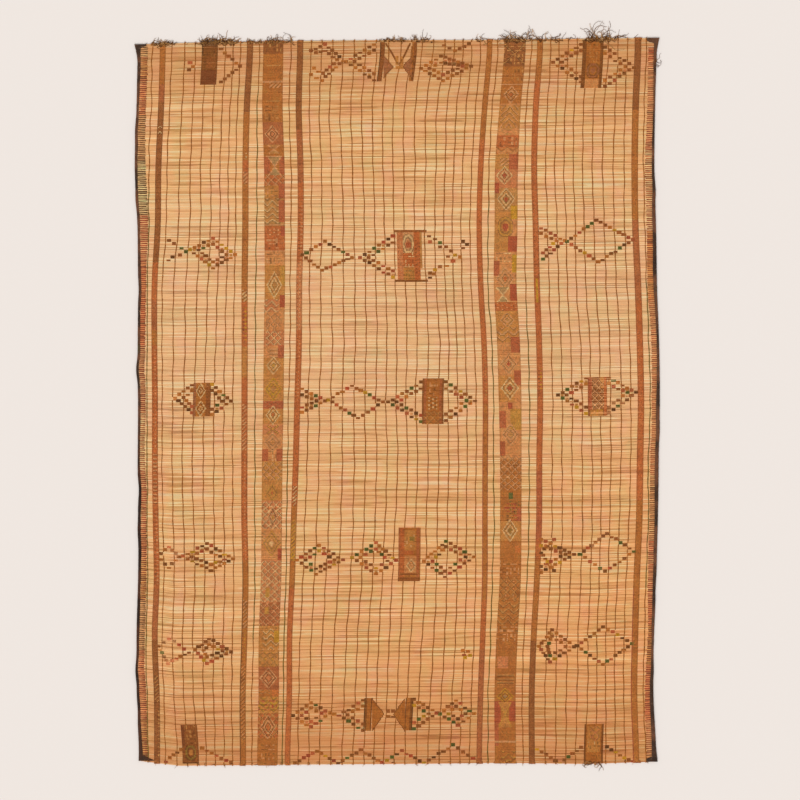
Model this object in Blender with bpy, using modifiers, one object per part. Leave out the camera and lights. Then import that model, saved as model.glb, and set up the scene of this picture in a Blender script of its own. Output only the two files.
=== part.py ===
"""A leather and reed floor mat, lying flat on the ground.

Fine reed stems lie side by side across the mat and are held by leather thongs
that run its whole length. The thongs crowd together into two wide bands, six
narrow bands and a laced strip along each side, and short panels of the same
lacing stand in rows across the fields. Black leather is folded round both long
sides, and the cut thongs fray out past the top end.

X runs across the mat, Y along it with the frayed end at +Y, and Z up. The
bottom is at Z = 0. Sizes are in millimetres until a mesh is made.
"""

import bmesh
import bpy
from math import cos, pi, radians, sin
from mathutils import Vector

MM = 0.001

# The frayed ends reach farther to the right and past the top than anything
# does on the other sides, so the middle of the whole part lies off the mat's.
MAT_CENTRE_X = -11.4
MAT_CENTRE_Y = -13.8

# Heights above the ground.
STEM_THICKNESS = 3.4
THONG_RISE = 0.8
THONG_WIDTH = 4.4
PIECE_GAP = 0.3
BAND_THICKNESS = 1.2
PANEL_THICKNESS = 0.8
PANEL_CLEARANCE = 0.9

# How the woven lines sway along the mat. Each column is one line, named for
# where it runs; the first row is where that line lies across the mat, and the
# rows below it give how far it strays sideways at each distance from the middle.
GUIDES = ("left_edge", "left_field", "wide_left", "centre_left",
          "centre_right", "wide_right", "right_field", "right_edge")
GUIDE_LINES = (-884, -734, -425, -155, 134, 382, 648, 883)
SWAY = {
    1200: (1, 25, 11, 11, 27, 20, 0, -1),
    1000: (-4, 18, 5, -1, 3, 0, -10, -6),
    800: (-9, 10, 7, 4, 0, -6, -15, -8),
    600: (0, 8, 7, 9, -5, -8, -10, 1),
    400: (3, -3, 4, 12, 0, -7, -3, 4),
    200: (1, -5, 3, 14, 11, 3, 8, 9),
    0: (2, -8, -1, 10, 8, 9, 9, 9),
    -200: (0, -12, -3, 11, 10, 9, 14, 6),
    -400: (1, -9, -5, 6, 4, 9, 12, 5),
    -600: (3, -5, -4, -1, 1, 3, 6, -1),
    -800: (-2, -12, -7, -16, -9, -6, -2, -8),
    -1000: (-3, -6, -7, -25, -21, -13, -4, -11),
    -1200: (5, 1, -11, -33, -30, -12, -6, 1),
}
STATION_STEP = 200

# The two ends of the weave are a little bowed: how far each lies from the
# middle, on every guide line.
TOP_END = (1216, 1222, 1227, 1230, 1231, 1232, 1236, 1238)
BOTTOM_END = (-1220, -1237, -1234, -1232, -1230, -1227, -1231, -1223)
ROWS = 18

# Thongs in each open field: first and last line, their count, and how much
# they crowd to the right (or, below zero, to the left).
FIELDS = (
    ("left", -785, -552, 8, 0.27),
    ("centre", -300, 265, 17, 0.0),
    ("right", 514, 785, 9, -0.14),
)
LONE_THONGS = (-838, -481, -369, 324, 441, 848)

# Laced bands: middle line and width, then how far each stops short of the ends.
BANDS = (
    ("side_lacing_left", -857.0, 22.0, 24.0),
    ("narrow_band_1", -809.0, 20.0, 0.0),
    ("narrow_band_2", -519.0, 20.0, 0.0),
    ("wide_band_left", -424.0, 67.0, 0.0),
    ("narrow_band_3", -335.0, 19.0, 0.0),
    ("narrow_band_4", 300.0, 18.0, 0.0),
    ("wide_band_right", 382.0, 69.0, 0.0),
    ("narrow_band_5", 477.0, 19.0, 0.0),
    ("narrow_band_6", 823.0, 22.0, 0.0),
    ("side_lacing_right", 861.5, 18.0, 24.0),
)

# Laced panels in the rows of motifs: middle across and along, width and height.
# A narrow bar stands between two thongs and a wider panel crosses several.
PANELS = (
    ("panel_top_left", -636, 1150, 58, 138),
    ("bar_top_1", -54, 1158, 14, 134),
    ("bar_top_2", 56, 1158, 20, 134),
    ("panel_top_right", 666, 1149, 71, 162),
    ("panel_second_row", 48, 497, 112, 174),
    ("panel_third_row_left", -662, 8, 60, 116),
    ("panel_third_row_centre", 123, 4, 73, 155),
    ("panel_third_row_right", 683, 20, 65, 131),
    ("panel_fourth_row", 44, -518, 75, 180),
    ("bar_sixth_row_1", -98, -1062, 26, 112),
    ("bar_sixth_row_2", 42, -1062, 26, 112),
    ("panel_bottom_left", -700, -1164, 58, 132),
    ("panel_bottom_right", 668, -1158, 61, 136),
)

# Black leather folded round the sides.
LEATHER = 1.1
FOLD_GAP = 0.4
FOLD_CORNER = 0.6
BINDING_TOP = STEM_THICKNESS + FOLD_GAP + LEATHER
UNDER_FLAP = 12.0
TURN_UNDER = LEATHER + FOLD_GAP
BINDING_WIDTH = {"left": 15.5, "right": 12.0}
# At each corner the fold flares out, and a toe of it reaches along the end:
# flare, reach of the toe from the edge, and its depth along the side.
CORNERS = {
    ("left", "bottom"): (0.0, 38.0, 18.0),
    ("left", "top"): (8.0, 30.0, 14.0),
    ("right", "bottom"): (4.0, 30.0, 14.0),
    ("right", "top"): (10.0, 30.0, 16.0),
}
TOE_TAPER = 4.0
FLARE_LENGTH = 60.0

# Frayed thong ends: where the tuft starts and stops along its edge, strands,
# reach past the edge, and the way they lean, in degrees to the right.
FRAYED_TOP = (
    ("frayed_end_1", -828, -798, 4, 18, 20),
    ("frayed_end_2", -666, -550, 14, 30, 12),
    ("frayed_end_3", -512, -456, 5, 10, -25),
    ("frayed_end_4", -413, -362, 5, 22, 28),
    ("frayed_end_5", -66, 44, 9, 12, -20),
    ("frayed_end_6", 54, 148, 8, 24, -15),
    ("frayed_end_7", 284, 352, 6, 16, 24),
    ("frayed_end_8", 400, 504, 12, 34, 10),
    ("frayed_end_9", 538, 607, 7, 28, -18),
    ("frayed_end_10", 656, 778, 13, 46, 16),
)
ROOT_STRIP_DEPTH = 3.0
STRAND_HEIGHT = 1.6
STRAND_WIDTH = 1.9
STRAND_STEPS = 5
STRAND_SWING = 26.0

MATERIALS = {
    # name: red, green, blue, roughness
    "reed": (0.672, 0.352, 0.158, 0.55),
    "laced_leather": (0.345, 0.150, 0.058, 0.60),
    "panel_leather": (0.200, 0.090, 0.034, 0.60),
    "black_leather": (0.030, 0.020, 0.016, 0.50),
    "frayed_leather": (0.140, 0.090, 0.062, 0.80),
}


def clear_scene():
    for item in list(bpy.data.objects):
        bpy.data.objects.remove(item, do_unlink=True)


def make_materials():
    made = {}
    for name, (red, green, blue, roughness) in MATERIALS.items():
        material = bpy.data.materials.new(name)
        material.use_nodes = True
        shader = material.node_tree.nodes["Principled BSDF"]
        shader.inputs["Base Color"].default_value = (red, green, blue, 1.0)
        shader.inputs["Roughness"].default_value = roughness
        shader.inputs["Metallic"].default_value = 0.0
        made[name] = material
    return made


def between(value, knots, levels):
    """Straight-line reading of levels over rising knots, held at both ends."""
    if value <= knots[0]:
        return levels[0]
    for low, high, a, b in zip(knots, knots[1:], levels, levels[1:]):
        if value <= high:
            return a + (b - a) * (value - low) / (high - low)
    return levels[-1]


def stray(column, along):
    """One guide line's sideways stray, on a smooth curve through its stations."""
    last = max(SWAY)
    along = max(-last, min(last, along))
    low = min(last - STATION_STEP, (along // STATION_STEP) * STATION_STEP)
    part = (along - low) / STATION_STEP
    before, start, end, after = (
        SWAY[max(-last, min(last, int(low) + k * STATION_STEP))][column] for k in (-1, 0, 1, 2))
    return 0.5 * (2 * start + (end - before) * part
                  + (2 * before - 5 * start + 4 * end - after) * part ** 2
                  + (3 * start - before - 3 * end + after) * part ** 3)


def sway(across, along):
    return between(across, GUIDE_LINES, [stray(k, along) for k in range(len(GUIDES))])


def ends(across):
    return between(across, GUIDE_LINES, BOTTOM_END), between(across, GUIDE_LINES, TOP_END)


def row_point(across, row):
    bottom, top = ends(across)
    along = bottom + (top - bottom) * row / ROWS
    return Vector((across + sway(across, along) + MAT_CENTRE_X, along + MAT_CENTRE_Y, 0))


def on_mat(across, share, height=0.0):
    """A point on the mat: share runs from 0 at the bottom end to 1 at the top.

    It is read straight between two rows, so that every piece shares the same
    flat facets and neighbours keep their gap.
    """
    row = min(ROWS - 1, int(share * ROWS))
    point = row_point(across, row).lerp(row_point(across, row + 1), share * ROWS - row)
    return point + Vector((0, 0, height))


def row_shares(trim=0.0):
    """Stations along the mat, the first and last pulled in by trim."""
    short = trim / (2 * max(SWAY))
    return [min(1 - short, max(short, row / ROWS)) for row in range(ROWS + 1)]


def thong_lines():
    """Where every thin thong runs across the mat."""
    lines = list(LONE_THONGS)
    for _, first, last, count, crowd in FIELDS:
        for k in range(count):
            part = k / (count - 1)
            lines.append(first + (last - first) * (part + crowd * part * (1 - part)))
    return sorted(lines)


def new_object(name, mesh_builder, material, collection):
    """Turns a filled bmesh into a named object; the bmesh is in millimetres."""
    bmesh.ops.scale(mesh_builder, vec=(MM, MM, MM), verts=mesh_builder.verts)
    mesh = bpy.data.meshes.new(name)
    mesh_builder.to_mesh(mesh)
    mesh_builder.free()
    mesh.materials.append(material)
    item = bpy.data.objects.new(name, mesh)
    collection.objects.link(item)
    return item


def loft(sections, splits):
    """A closed solid through closed sections that have equally many points.

    splits pairs the points of a section that lie above each other, because the
    two end faces are bowed and are only flat from one such pair to the next.
    """
    solid = bmesh.new()
    rings = [[solid.verts.new(point) for point in section] for section in sections]
    for ring, following in zip(rings, rings[1:]):
        for k in range(len(ring)):
            turn = (k + 1) % len(ring)
            solid.faces.new((ring[k], ring[turn], following[turn], following[k]))
    for ring in (rings[0], rings[-1]):
        solid.faces.new(ring)
        for upper, lower in splits:
            bmesh.ops.connect_verts(solid, verts=(ring[upper], ring[lower]))
    bmesh.ops.recalc_face_normals(solid, faces=solid.faces)
    return solid


def sheet_section():
    """The sheet cut across: flat below, ribbed by its thongs above."""
    half = THONG_WIDTH / 2
    left = GUIDE_LINES[0] + TURN_UNDER
    right = GUIDE_LINES[-1] - TURN_UNDER
    inner_guides = GUIDE_LINES[1:-1]
    upper = [(line, STEM_THICKNESS) for line in (left, right) + inner_guides]
    for line in thong_lines():
        upper.append((line - half, STEM_THICKNESS))
        upper.append((line, STEM_THICKNESS + THONG_RISE))
        upper.append((line + half, STEM_THICKNESS))
    upper.sort()
    step_left = GUIDE_LINES[0] + UNDER_FLAP + FOLD_GAP
    step_right = GUIDE_LINES[-1] - UNDER_FLAP - FOLD_GAP
    lower = [(left, TURN_UNDER), (step_left, TURN_UNDER), (step_left, 0.0)]
    lower += [(line, 0.0) for line in inner_guides]
    lower += [(step_right, 0.0), (step_right, TURN_UNDER), (right, TURN_UNDER)]
    section = upper + lower[::-1]
    splits = [(section.index((line, STEM_THICKNESS)), section.index((line, 0.0)))
              for line in inner_guides]
    return section, splits


def make_sheet(material, collection):
    section, splits = sheet_section()
    sections = [[on_mat(line, share, height) for line, height in section] for share in row_shares()]
    return new_object("reed_sheet", loft(sections, splits), material, collection)


def ribbon(lines, shares, place):
    """An open grid: one column of faces between lines, one row between shares."""
    surface = bmesh.new()
    bmesh.ops.create_grid(surface, x_segments=len(lines) - 1, y_segments=len(shares) - 1, size=0.5)
    for vert in surface.verts:
        column = round((vert.co.x + 0.5) * (len(lines) - 1))
        row = round((vert.co.y + 0.5) * (len(shares) - 1))
        vert.co = place(lines[column], shares[row])
    return surface


def thicken(item, thickness, rounding):
    """Gives an open surface its thickness downwards, and softens its long edges."""
    wall = item.modifiers.new("thickness", "SOLIDIFY")
    wall.thickness = thickness * MM
    wall.offset = -1.0
    wall.use_even_offset = True
    if rounding:
        edge = item.modifiers.new("worn edge", "BEVEL")
        edge.width = rounding * MM
        edge.segments = 1
        edge.limit_method = "ANGLE"
        edge.angle_limit = radians(40)


def make_band(name, middle, width, trim, material, collection):
    top = STEM_THICKNESS + PIECE_GAP + BAND_THICKNESS
    lines = (middle - width / 2, middle + width / 2)
    surface = ribbon(lines, row_shares(trim), lambda across, share: on_mat(across, share, top))
    band = new_object(name, surface, material, collection)
    thicken(band, BAND_THICKNESS, 0.35)
    return band


def rest_height(across, along, width):
    """What a panel lies on: the thongs it crosses, or the stems between two."""
    reach = (width + THONG_WIDTH) / 2 + PANEL_CLEARANCE
    for line in thong_lines():
        if abs(line + sway(line, along) - across) < reach:
            return STEM_THICKNESS + THONG_RISE
    return STEM_THICKNESS


def make_panel(name, across, along, width, height, material, collection):
    """A short laced panel that leans as the thongs round it do."""
    top = rest_height(across, along, width) + PIECE_GAP + PANEL_THICKNESS
    middle_sway = sway(across, along)

    def place(offset, level):
        lean = sway(across, along + level) - middle_sway
        return Vector((across + offset + lean + MAT_CENTRE_X, along + level + MAT_CENTRE_Y, top))

    surface = ribbon((-width / 2, width / 2), (-height / 2, 0.0, height / 2), place)
    panel = new_object(name, surface, material, collection)
    thicken(panel, PANEL_THICKNESS, 0.25)
    return panel


def binding_stations(side):
    """Shares along the side, with extra ones where the corner toes end."""
    length = 2.0 * max(SWAY)
    stations = {0.0, 1.0}
    for end, anchor, way in (("bottom", 0.0, 1), ("top", 1.0, -1)):
        depth = CORNERS[(side, end)][2]
        for distance in (depth, depth + TOE_TAPER, FLARE_LENGTH):
            stations.add(anchor + way * distance / length)
    stations.update(row / ROWS for row in range(1, ROWS))
    return sorted(stations)


def corner_shape(side, share):
    """Flare and flap width of the fold at one share along its side."""
    length = 2.0 * max(SWAY)
    end = "bottom" if share < 0.5 else "top"
    flare, reach, depth = CORNERS[(side, end)]
    distance = min(share, 1 - share) * length
    out = flare * max(0.0, 1 - distance / FLARE_LENGTH)
    width = between(distance, (depth, depth + TOE_TAPER), (reach, BINDING_WIDTH[side]))
    return out, width


def make_binding(side, material, collection):
    """Leather folded round one long side, open towards the mat."""
    inward = 1 if side == "left" else -1
    edge = GUIDE_LINES[0] if side == "left" else GUIDE_LINES[-1]
    profile = ("under_flap", "low_corner", "outer_low", "outer_high", "high_corner", "over_flap")

    def place(point, share):
        out, width = corner_shape(side, share)
        reach = {
            "under_flap": UNDER_FLAP,
            "low_corner": FOLD_CORNER - out,
            "outer_low": -out,
            "outer_high": -out,
            "high_corner": FOLD_CORNER - out,
            "over_flap": width,
        }[point]
        height = {
            "under_flap": 0.0,
            "low_corner": 0.0,
            "outer_low": FOLD_CORNER,
            "outer_high": BINDING_TOP - FOLD_CORNER,
            "high_corner": BINDING_TOP,
            "over_flap": BINDING_TOP,
        }[point]
        return on_mat(edge + inward * reach, share, height)

    surface = ribbon(profile, binding_stations(side), place)
    if side == "right":
        bmesh.ops.reverse_faces(surface, faces=surface.faces)
    binding = new_object("binding_" + side, surface, material, collection)
    thicken(binding, LEATHER, 0.0)
    return binding


def top_edge(across):
    point = on_mat(across, 1.0)
    return point, Vector((0, 1, 0))


def right_edge(along):
    share = (along - BOTTOM_END[-1]) / (TOP_END[-1] - BOTTOM_END[-1])
    return on_mat(GUIDE_LINES[-1], share), Vector((1, 0, 0))


def bottom_edge(across):
    point = on_mat(across, 0.0)
    return point, Vector((0, -1, 0))


def make_frayed_end(name, edge, start, stop, count, reach, lean, material, collection):
    """Strands that lie on the ground, their roots fused into one narrow strip.

    edge gives a point of the mat's edge and the way out from it. The strip is a
    row of blocks along the edge, and every second block grows a strand.
    """
    way = 1 if stop > start else -1
    pitch = (stop - start) / count
    lines = [start]
    for k in range(count):
        middle = start + (k + 0.5) * pitch
        lines += [middle - way * STRAND_WIDTH / 2, middle + way * STRAND_WIDTH / 2]
    lines.append(stop)

    def place(line, out):
        point, outwards = edge(line)
        return point + outwards * out + Vector((0, 0, STRAND_HEIGHT))

    tuft = ribbon(lines, (PIECE_GAP, PIECE_GAP + ROOT_STRIP_DEPTH), place)
    grown = bmesh.ops.extrude_face_region(tuft, geom=tuft.faces[:], use_keep_orig=True)
    for vert in (item for item in grown["geom"] if isinstance(item, bmesh.types.BMVert)):
        vert.co.z = 0.0
    bmesh.ops.recalc_face_normals(tuft, faces=tuft.faces)

    outwards = edge(start)[1]
    sideways = Vector((outwards.y, -outwards.x, 0))
    tuft.normal_update()
    outer = [face for face in tuft.faces if face.normal.dot(outwards) > 0.9]
    outer.sort(key=lambda face: face.calc_center_median().dot(sideways))
    tips = outer[1::2]
    for step in range(STRAND_STEPS):
        tips = bmesh.ops.extrude_discrete_faces(tuft, faces=tips)["faces"]
        for k, face in enumerate(tips):
            swing = STRAND_SWING * sin(2 * pi * (step / STRAND_STEPS + 0.07 * k))
            heading = radians(lean + swing)
            length = reach * (0.72 + 0.28 * cos(2.3 * k)) / STRAND_STEPS
            move = outwards * cos(heading) * length + sideways * sin(heading) * length
            taper = 1 - 0.12 * (step + 1)
            middle = face.calc_center_median()
            for vert in face.verts:
                offset = vert.co - middle
                vert.co += move - offset.dot(sideways) * 0.12 * sideways
                if vert.co.z > 0.1 * STRAND_HEIGHT:
                    vert.co.z = STRAND_HEIGHT * taper
    return new_object(name, tuft, material, collection)


def make_frayed_ends(material, collection):
    for name, start, stop, count, reach, lean in FRAYED_TOP:
        make_frayed_end(name, top_edge, start, stop, count, reach, lean, material, collection)
    make_frayed_end("loose_end_right", right_edge, 1166, 1146, 2, 34, -10, material, collection)
    make_frayed_end("loose_end_bottom", bottom_edge, 690, 654, 3, 26, 30, material, collection)


def build():
    clear_scene()
    collection = bpy.data.collections.new("leather_and_reed_mat")
    bpy.context.scene.collection.children.link(collection)
    materials = make_materials()
    make_sheet(materials["reed"], collection)
    for name, middle, width, trim in BANDS:
        make_band(name, middle, width, trim, materials["laced_leather"], collection)
    for name, across, along, width, height in PANELS:
        make_panel(name, across, along, width, height, materials["panel_leather"], collection)
    for side in ("left", "right"):
        make_binding(side, materials["black_leather"], collection)
    make_frayed_ends(materials["frayed_leather"], collection)


build()
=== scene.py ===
"""Looks of a leather and reed floor mat that lies flat on the ground.

Hundreds of reed stems lie side by side across the mat. Leather thongs run its
whole length and lap over every stem, so each crossing shows as one small lap of
leather. Where thongs lie close together they make bands, panels and the small
bricks of the diamond rows, and dyed laps draw the patterns. Black leather is
folded round both long sides, and the cut thongs fray out past the ends.

Lengths are millimetres in the mat's own frame until a mesh is made, and metres
after that. Rows and columns of motifs are in pixels of the 800 pixel photo.
"""

from math import cos, pi, radians, sin

import bmesh
import bpy
import numpy as np
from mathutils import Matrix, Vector


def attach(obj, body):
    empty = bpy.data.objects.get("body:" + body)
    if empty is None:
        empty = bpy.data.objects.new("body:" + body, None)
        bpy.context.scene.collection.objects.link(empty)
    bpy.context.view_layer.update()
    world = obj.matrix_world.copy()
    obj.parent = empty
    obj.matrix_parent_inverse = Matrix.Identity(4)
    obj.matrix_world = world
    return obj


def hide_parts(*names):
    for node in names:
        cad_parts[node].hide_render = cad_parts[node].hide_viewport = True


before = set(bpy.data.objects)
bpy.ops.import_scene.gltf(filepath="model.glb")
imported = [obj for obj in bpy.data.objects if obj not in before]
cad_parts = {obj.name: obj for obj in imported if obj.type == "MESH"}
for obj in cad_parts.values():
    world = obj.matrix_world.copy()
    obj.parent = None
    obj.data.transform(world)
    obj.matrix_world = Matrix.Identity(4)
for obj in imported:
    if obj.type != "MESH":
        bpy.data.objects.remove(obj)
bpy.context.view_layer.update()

MM = 0.001

# The mat's middle in the part's frame, and the scale of the photo.
MAT_CENTRE_X = -11.4
MAT_CENTRE_Y = -13.8
MM_PER_PIXEL = 3.4
MIDDLE_COLUMN = 396.5
MIDDLE_ROW = 402.0

# Heights above the ground. The leather below the stems is skived thin.
UNDERSIDE = 0.5
STEM_THICKNESS = 3.4
STEM_AXIS = UNDERSIDE + STEM_THICKNESS / 2
STEM_TOP = UNDERSIDE + STEM_THICKNESS
LAP_FOOT = STEM_TOP - 0.75

# How far laps rise above their foot: in bands, thin thongs, panels and side lacings.
LAP_RISE = 1.95
THONG_RISE = 1.75
PANEL_RISE = LAP_RISE * 1.12
RUNG_RISE = LAP_RISE * 1.1

# Stems from middle to middle, their thinnest and thickest, and the share of a thin one, whose dark
# stretches are painted shade.
STEM_PITCH = 3.55
THINNEST_STEM = 2.5
THICKEST_STEM = 3.8
THIN_SHARE = 0.8
# A thin stem follows after three to seven others.
THIN_GAPS = (4, 9)

THONG_WIDTH = 3.7
# Thongs side by side in a panel, from middle to middle.
LACING_PITCH = 3.4

# How the woven lines stray sideways: where each lies across the mat, and how far it strays
# to the right at every station from the bottom end to the top one.
WOVEN_LINES = (
    (-884, (9, 0.5, 0.5, 5, 6, 3.5, 5.5, 3.5, 5.5, 2.5, -5.5, -0.5, 4.5)),
    (-853, (9, 0.5, 0.5, 5, 6, 3.5, 5.5, 3.5, 5.5, 2.5, -5.5, -0.5, 4.5)),
    (-845, (-0.5, -3.5, -6.5, -1.5, -3, -3.5, -3.5, -2.5, -3, 3, 3.5, 11, 15)),
    (-813, (-0.5, -1.5, -8.5, -2, -5.5, -8, -8, -10, -9.5, 1.5, 4, 13, 18.5)),
    (-740, (-2, -13, -18.5, -12, -16, -19.5, -17.5, -15.5, -14, 2, 6, 14.5, 25.5)),
    (-680, (-6, -21, -24, -16, -21, -26.5, -19, -12, -9, 3, 3.5, 12, 20.5)),
    (-620, (-11.5, -18.5, -21, -15.5, -17.5, -19, -17, -11, -3.5, 5.5, 5.5, 13.5, 25)),
    (-519, (-3, -4, 1.5, 5.5, 1.5, 1.5, 2, 2.5, 2.5, 5, 5.5, 10, 21)),
    (-481, (-10.5, -11, -5.5, -0.5, -1, -0.5, -0.5, 1, 2, 5.5, 7, 7.5, 16.5)),
    (-424, (-15, -10.5, -10, -2.5, 0, 1.5, 5, 7, 10, 9.5, 8.5, 2, 4.5)),
    (-369, (-20, -15.5, -13.5, -6.5, -5, -1, 1.5, 7.5, 7.5, 10.5, 10.5, 3.5, 10.5)),
    (-335, (-36.5, -30.5, -29.5, -20.5, -14.5, -7.5, -2.5, 3, 4, 9, 8.5, 2.5, 7.5)),
    (-300, (-35, -33, -27.5, -18, -11.5, -3.5, -1, 6, 3.5, 10.5, 10.5, 3, 10)),
    (-230, (-32.5, -29.5, -22.5, -11, -1, 4.5, 6, 11, 9, 11.5, 8, 1, 12.5)),
    (-155, (-26, -18.5, -10.5, 3.5, 11.5, 15.5, 14.5, 18.5, 17.5, 14.5, 9, 4, 16)),
    (-90, (-22, -14.5, -8, 6.5, 15, 21, 17, 22, 18, 15, 9, 6, 20)),
    (-13, (-26.5, -15, -7, 3, 13, 21.5, 15.5, 18.5, 13.5, 8.5, 5, 6.5, 34)),
    (60, (-25, -17, -5, 10.5, 11.5, 18.5, 11, 17, 12, 7, 10, 10.5, 33.5)),
    (134, (-16.5, -7.5, 4.5, 12.5, 15.5, 20, 18.5, 24.5, 11, 6, 10.5, 14.5, 42)),
    (200, (-10.5, -5, 6, 11.5, 12, 15.5, 12.5, 9, -2, -6.5, 0, 9.5, 32)),
    (250, (-16, -9, 1, 5.5, 4, 7, 7, 1, -10, -13.5, -7, 6, 23)),
    (300, (-18.5, -14.5, -7, 0, 1, 1.5, 2.5, -2.5, -14, -18.5, -13.5, -0.5, 16.5)),
    (324, (-12.5, -12.5, -4, 1.5, 8, 5.5, 6, 0, -13, -12, -9, 1.5, 21)),
    (382, (-12, -13, -6.5, 4.5, 6.5, 6.5, 4.5, -1, -12, -9.5, -8, 4, 20.5)),
    (441, (-10.5, -14, -7.5, 3, 9.5, 10, 11.5, 6, -2.5, -4, -4.5, 0, 18.5)),
    (477, (-16, -16.5, -9.5, 1.5, 9, 9.5, 12.5, 9, 1.5, -3, -8, -2.5, 11.5)),
    (549, (-1, -1.5, 2, 13.5, 21, 19, 20.5, 16, 7.5, 2.5, -6, 0.5, 10)),
    (600, (2, 7, 10.5, 20.5, 26, 24, 26, 19, 4.5, 1.5, -5.5, -2.5, 9)),
    (648, (0, 10.5, 11, 19, 24.5, 25.5, 18.5, 17, 3, -2.5, -8, -4, 4.5)),
    (700, (3, 2.5, 3, 11, 16, 19.5, 17, 15, 3, -3, -9.5, -5.5, 12)),
    (748, (-2.5, -5, -5, 4, 10.5, 16, 17.5, 13, 0.5, -6.5, -10, -3.5, 6)),
    (785, (-7, -13, -11, -4.5, 5.5, 11, 12, 8, -1, -9.5, -11, -8.5, 0.5)),
    (823, (-7, -14, -10.5, -5, 3.5, 6, 9.5, 5.5, -1, -9.5, -12, -9, -1)),
    (846, (3, -7, -2.5, 2.5, 10.5, 10, 17, 12, 4.5, -2, -6, -4, 4)),
    (853, (-0.5, -9.5, -8, 0.5, 5, 8.5, 11.5, 10, 2, -0.5, -7, -3.5, 0.5)),
    (883, (-0.5, -9.5, -8, 0.5, 5, 8.5, 11.5, 10, 2, -0.5, -7, -3.5, 0.5)),
)
GUIDE_LINES = np.array([line for line, _ in WOVEN_LINES], float)
STRAYS = np.array([strays for _, strays in WOVEN_LINES], float).T
STRAYS_HELD = np.vstack((STRAYS[:1], STRAYS, STRAYS[-1:]))
STATION_STEP = 200.0
LAST_STATION = 1200.0

# Places where an edge bulges or draws in over a hand's width: side, distance from the
# middle, and the push to the right.
EDGE_KINKS = (
    (-1, 925.0, -2.4), (-1, 687.0, -2.2), (-1, 381.0, 2.3), (-1, 109.0, -5.5), (-1, -299.0, 3.5),
    (-1, -435.0, -2.2), (-1, -911.0, -3.8), (-1, -1047.0, 2.1),
    (1, 721.0, 2.9), (1, -95.0, 1.9), (1, -639.0, -1.7), (1, -911.0, 2.0),
)
KINK_SPREAD = 36.0
KINK_REACH = 60.0

# The two bowed ends of the weave.
END_LINES = (-884, -734, -425, -155, 134, 382, 648, 883)
TOP_END = (1216, 1222, 1227, 1230, 1231, 1232, 1236, 1238)
BOTTOM_END = (-1220, -1237, -1234, -1232, -1230, -1227, -1231, -1223)

# Low folds that cross the mat: distance from the middle, height, half length.
RIPPLES = (
    (-231.0, 1.7, 34.0),
    (-418.0, 2.0, 30.0),
    (-560.0, 1.2, 40.0),
    (-673.0, 2.2, 32.0),
    (-901.0, 1.9, 36.0),
    (-1010.0, 1.1, 40.0),
    (260.0, 0.8, 60.0),
    (905.0, 0.8, 60.0),
)

# Fields of thin thongs: first and last line, how many, and how they crowd to one side.
FIELDS = (
    (-785, -552, 8, 0.27),
    (-300, 265, 17, 0.0),
    (514, 785, 9, -0.14),
)
# Thin thongs that run alone beside the bands.
LONE_THONGS = (-845, -481, -369, 324, 441, 846)

# Laced bands: middle line and width.
BANDS = {
    "side_lacing_left": (-856.0, 24.0),
    "narrow_band_1": (-813.5, 20.5),
    "narrow_band_2": (-519.0, 21.5),
    "wide_band_left": (-424.0, 70.0),
    "narrow_band_3": (-335.0, 21.0),
    "narrow_band_4": (300.0, 19.3),
    "wide_band_right": (382.0, 75.5),
    "narrow_band_5": (476.0, 20.6),
    "narrow_band_6": (822.0, 23.2),
    "side_lacing_right": (859.5, 18.5),
}

# Panels: middle across and along, width and height.
PANELS = {
    "panel_top_left": (-636.5, 1150, 54.5, 138),
    "bar_top_1": (-51, 1158, 16, 134),
    "bar_top_2": (58, 1158, 16, 134),
    "panel_top_right": (666, 1149, 71, 162),
    "panel_second_row": (48, 497, 112, 174),
    "panel_third_row_left": (-662, 8, 60, 116),
    "panel_third_row_centre": (123, 4, 73, 155),
    "panel_third_row_right": (683, 20, 65, 131),
    "panel_fourth_row": (44, -518, 75, 180),
    "bar_sixth_row_1": (-98, -1062, 26, 112),
    "bar_sixth_row_2": (42, -1062, 26, 112),
    "panel_bottom_left": (-701.5, -1164, 55.5, 132),
    "panel_bottom_right": (670, -1163, 65, 138),
}

# Colours of the leather's dyes, as they look on worn leather in daylight.
DYES = {
    "pale": "#E8AE7C",
    "cream": "#F2CF9C",
    "tan": "#D69A5A",
    "ochre": "#DC9A52",
    "honey": "#D8A04A",
    "gold": "#DCA82E",
    "orange": "#DE8440",
    "brown": "#CC803A",
    "faded": "#E8A468",
    "russet": "#C87647",
    "umber": "#9C5E2A",
    "dark": "#7A4A22",
    "black": "#50300F",
    "chestnut": "#98542F",
    "hazel": "#AE6834",
    "rust": "#D67A42",
    "clay": "#BC7850",
    "madder": "#BE4630",
    "wine": "#9A3426",
    "brick": "#CC6E46",
    "red": "#C65C3C",
    "rose": "#E29462",
    "green": "#5C6E30",
    "moss": "#A8843C",
    "grey": "#C29A6A",
    "thong": "#AE6C2E",
    "thong_green": "#7C6A30",
}


def linear(hex_colour):
    """An sRGB hex colour as linear red, green and blue."""
    levels = [int(hex_colour[k:k + 2], 16) / 255 for k in (1, 3, 5)]
    return [c / 12.92 if c <= 0.04045 else ((c + 0.055) / 1.055) ** 2.4 for c in levels]


def dye(name):
    return np.array(linear(DYES[name]))


# Where things lie on the mat


def stray_at(along):
    """The stray of every guide line at each distance, on a smooth curve."""
    place = (np.clip(along, -LAST_STATION, LAST_STATION) + LAST_STATION) / STATION_STEP
    low = np.minimum(place.astype(int), len(STRAYS) - 2)
    part = (place - low)[:, None]
    before, start, end, after = (STRAYS_HELD[low + k] for k in range(4))
    return 0.5 * (2 * start + (end - before) * part
                  + (2 * before - 5 * start + 4 * end - after) * part ** 2
                  + (3 * start - before - 3 * end + after) * part ** 3)


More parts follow.
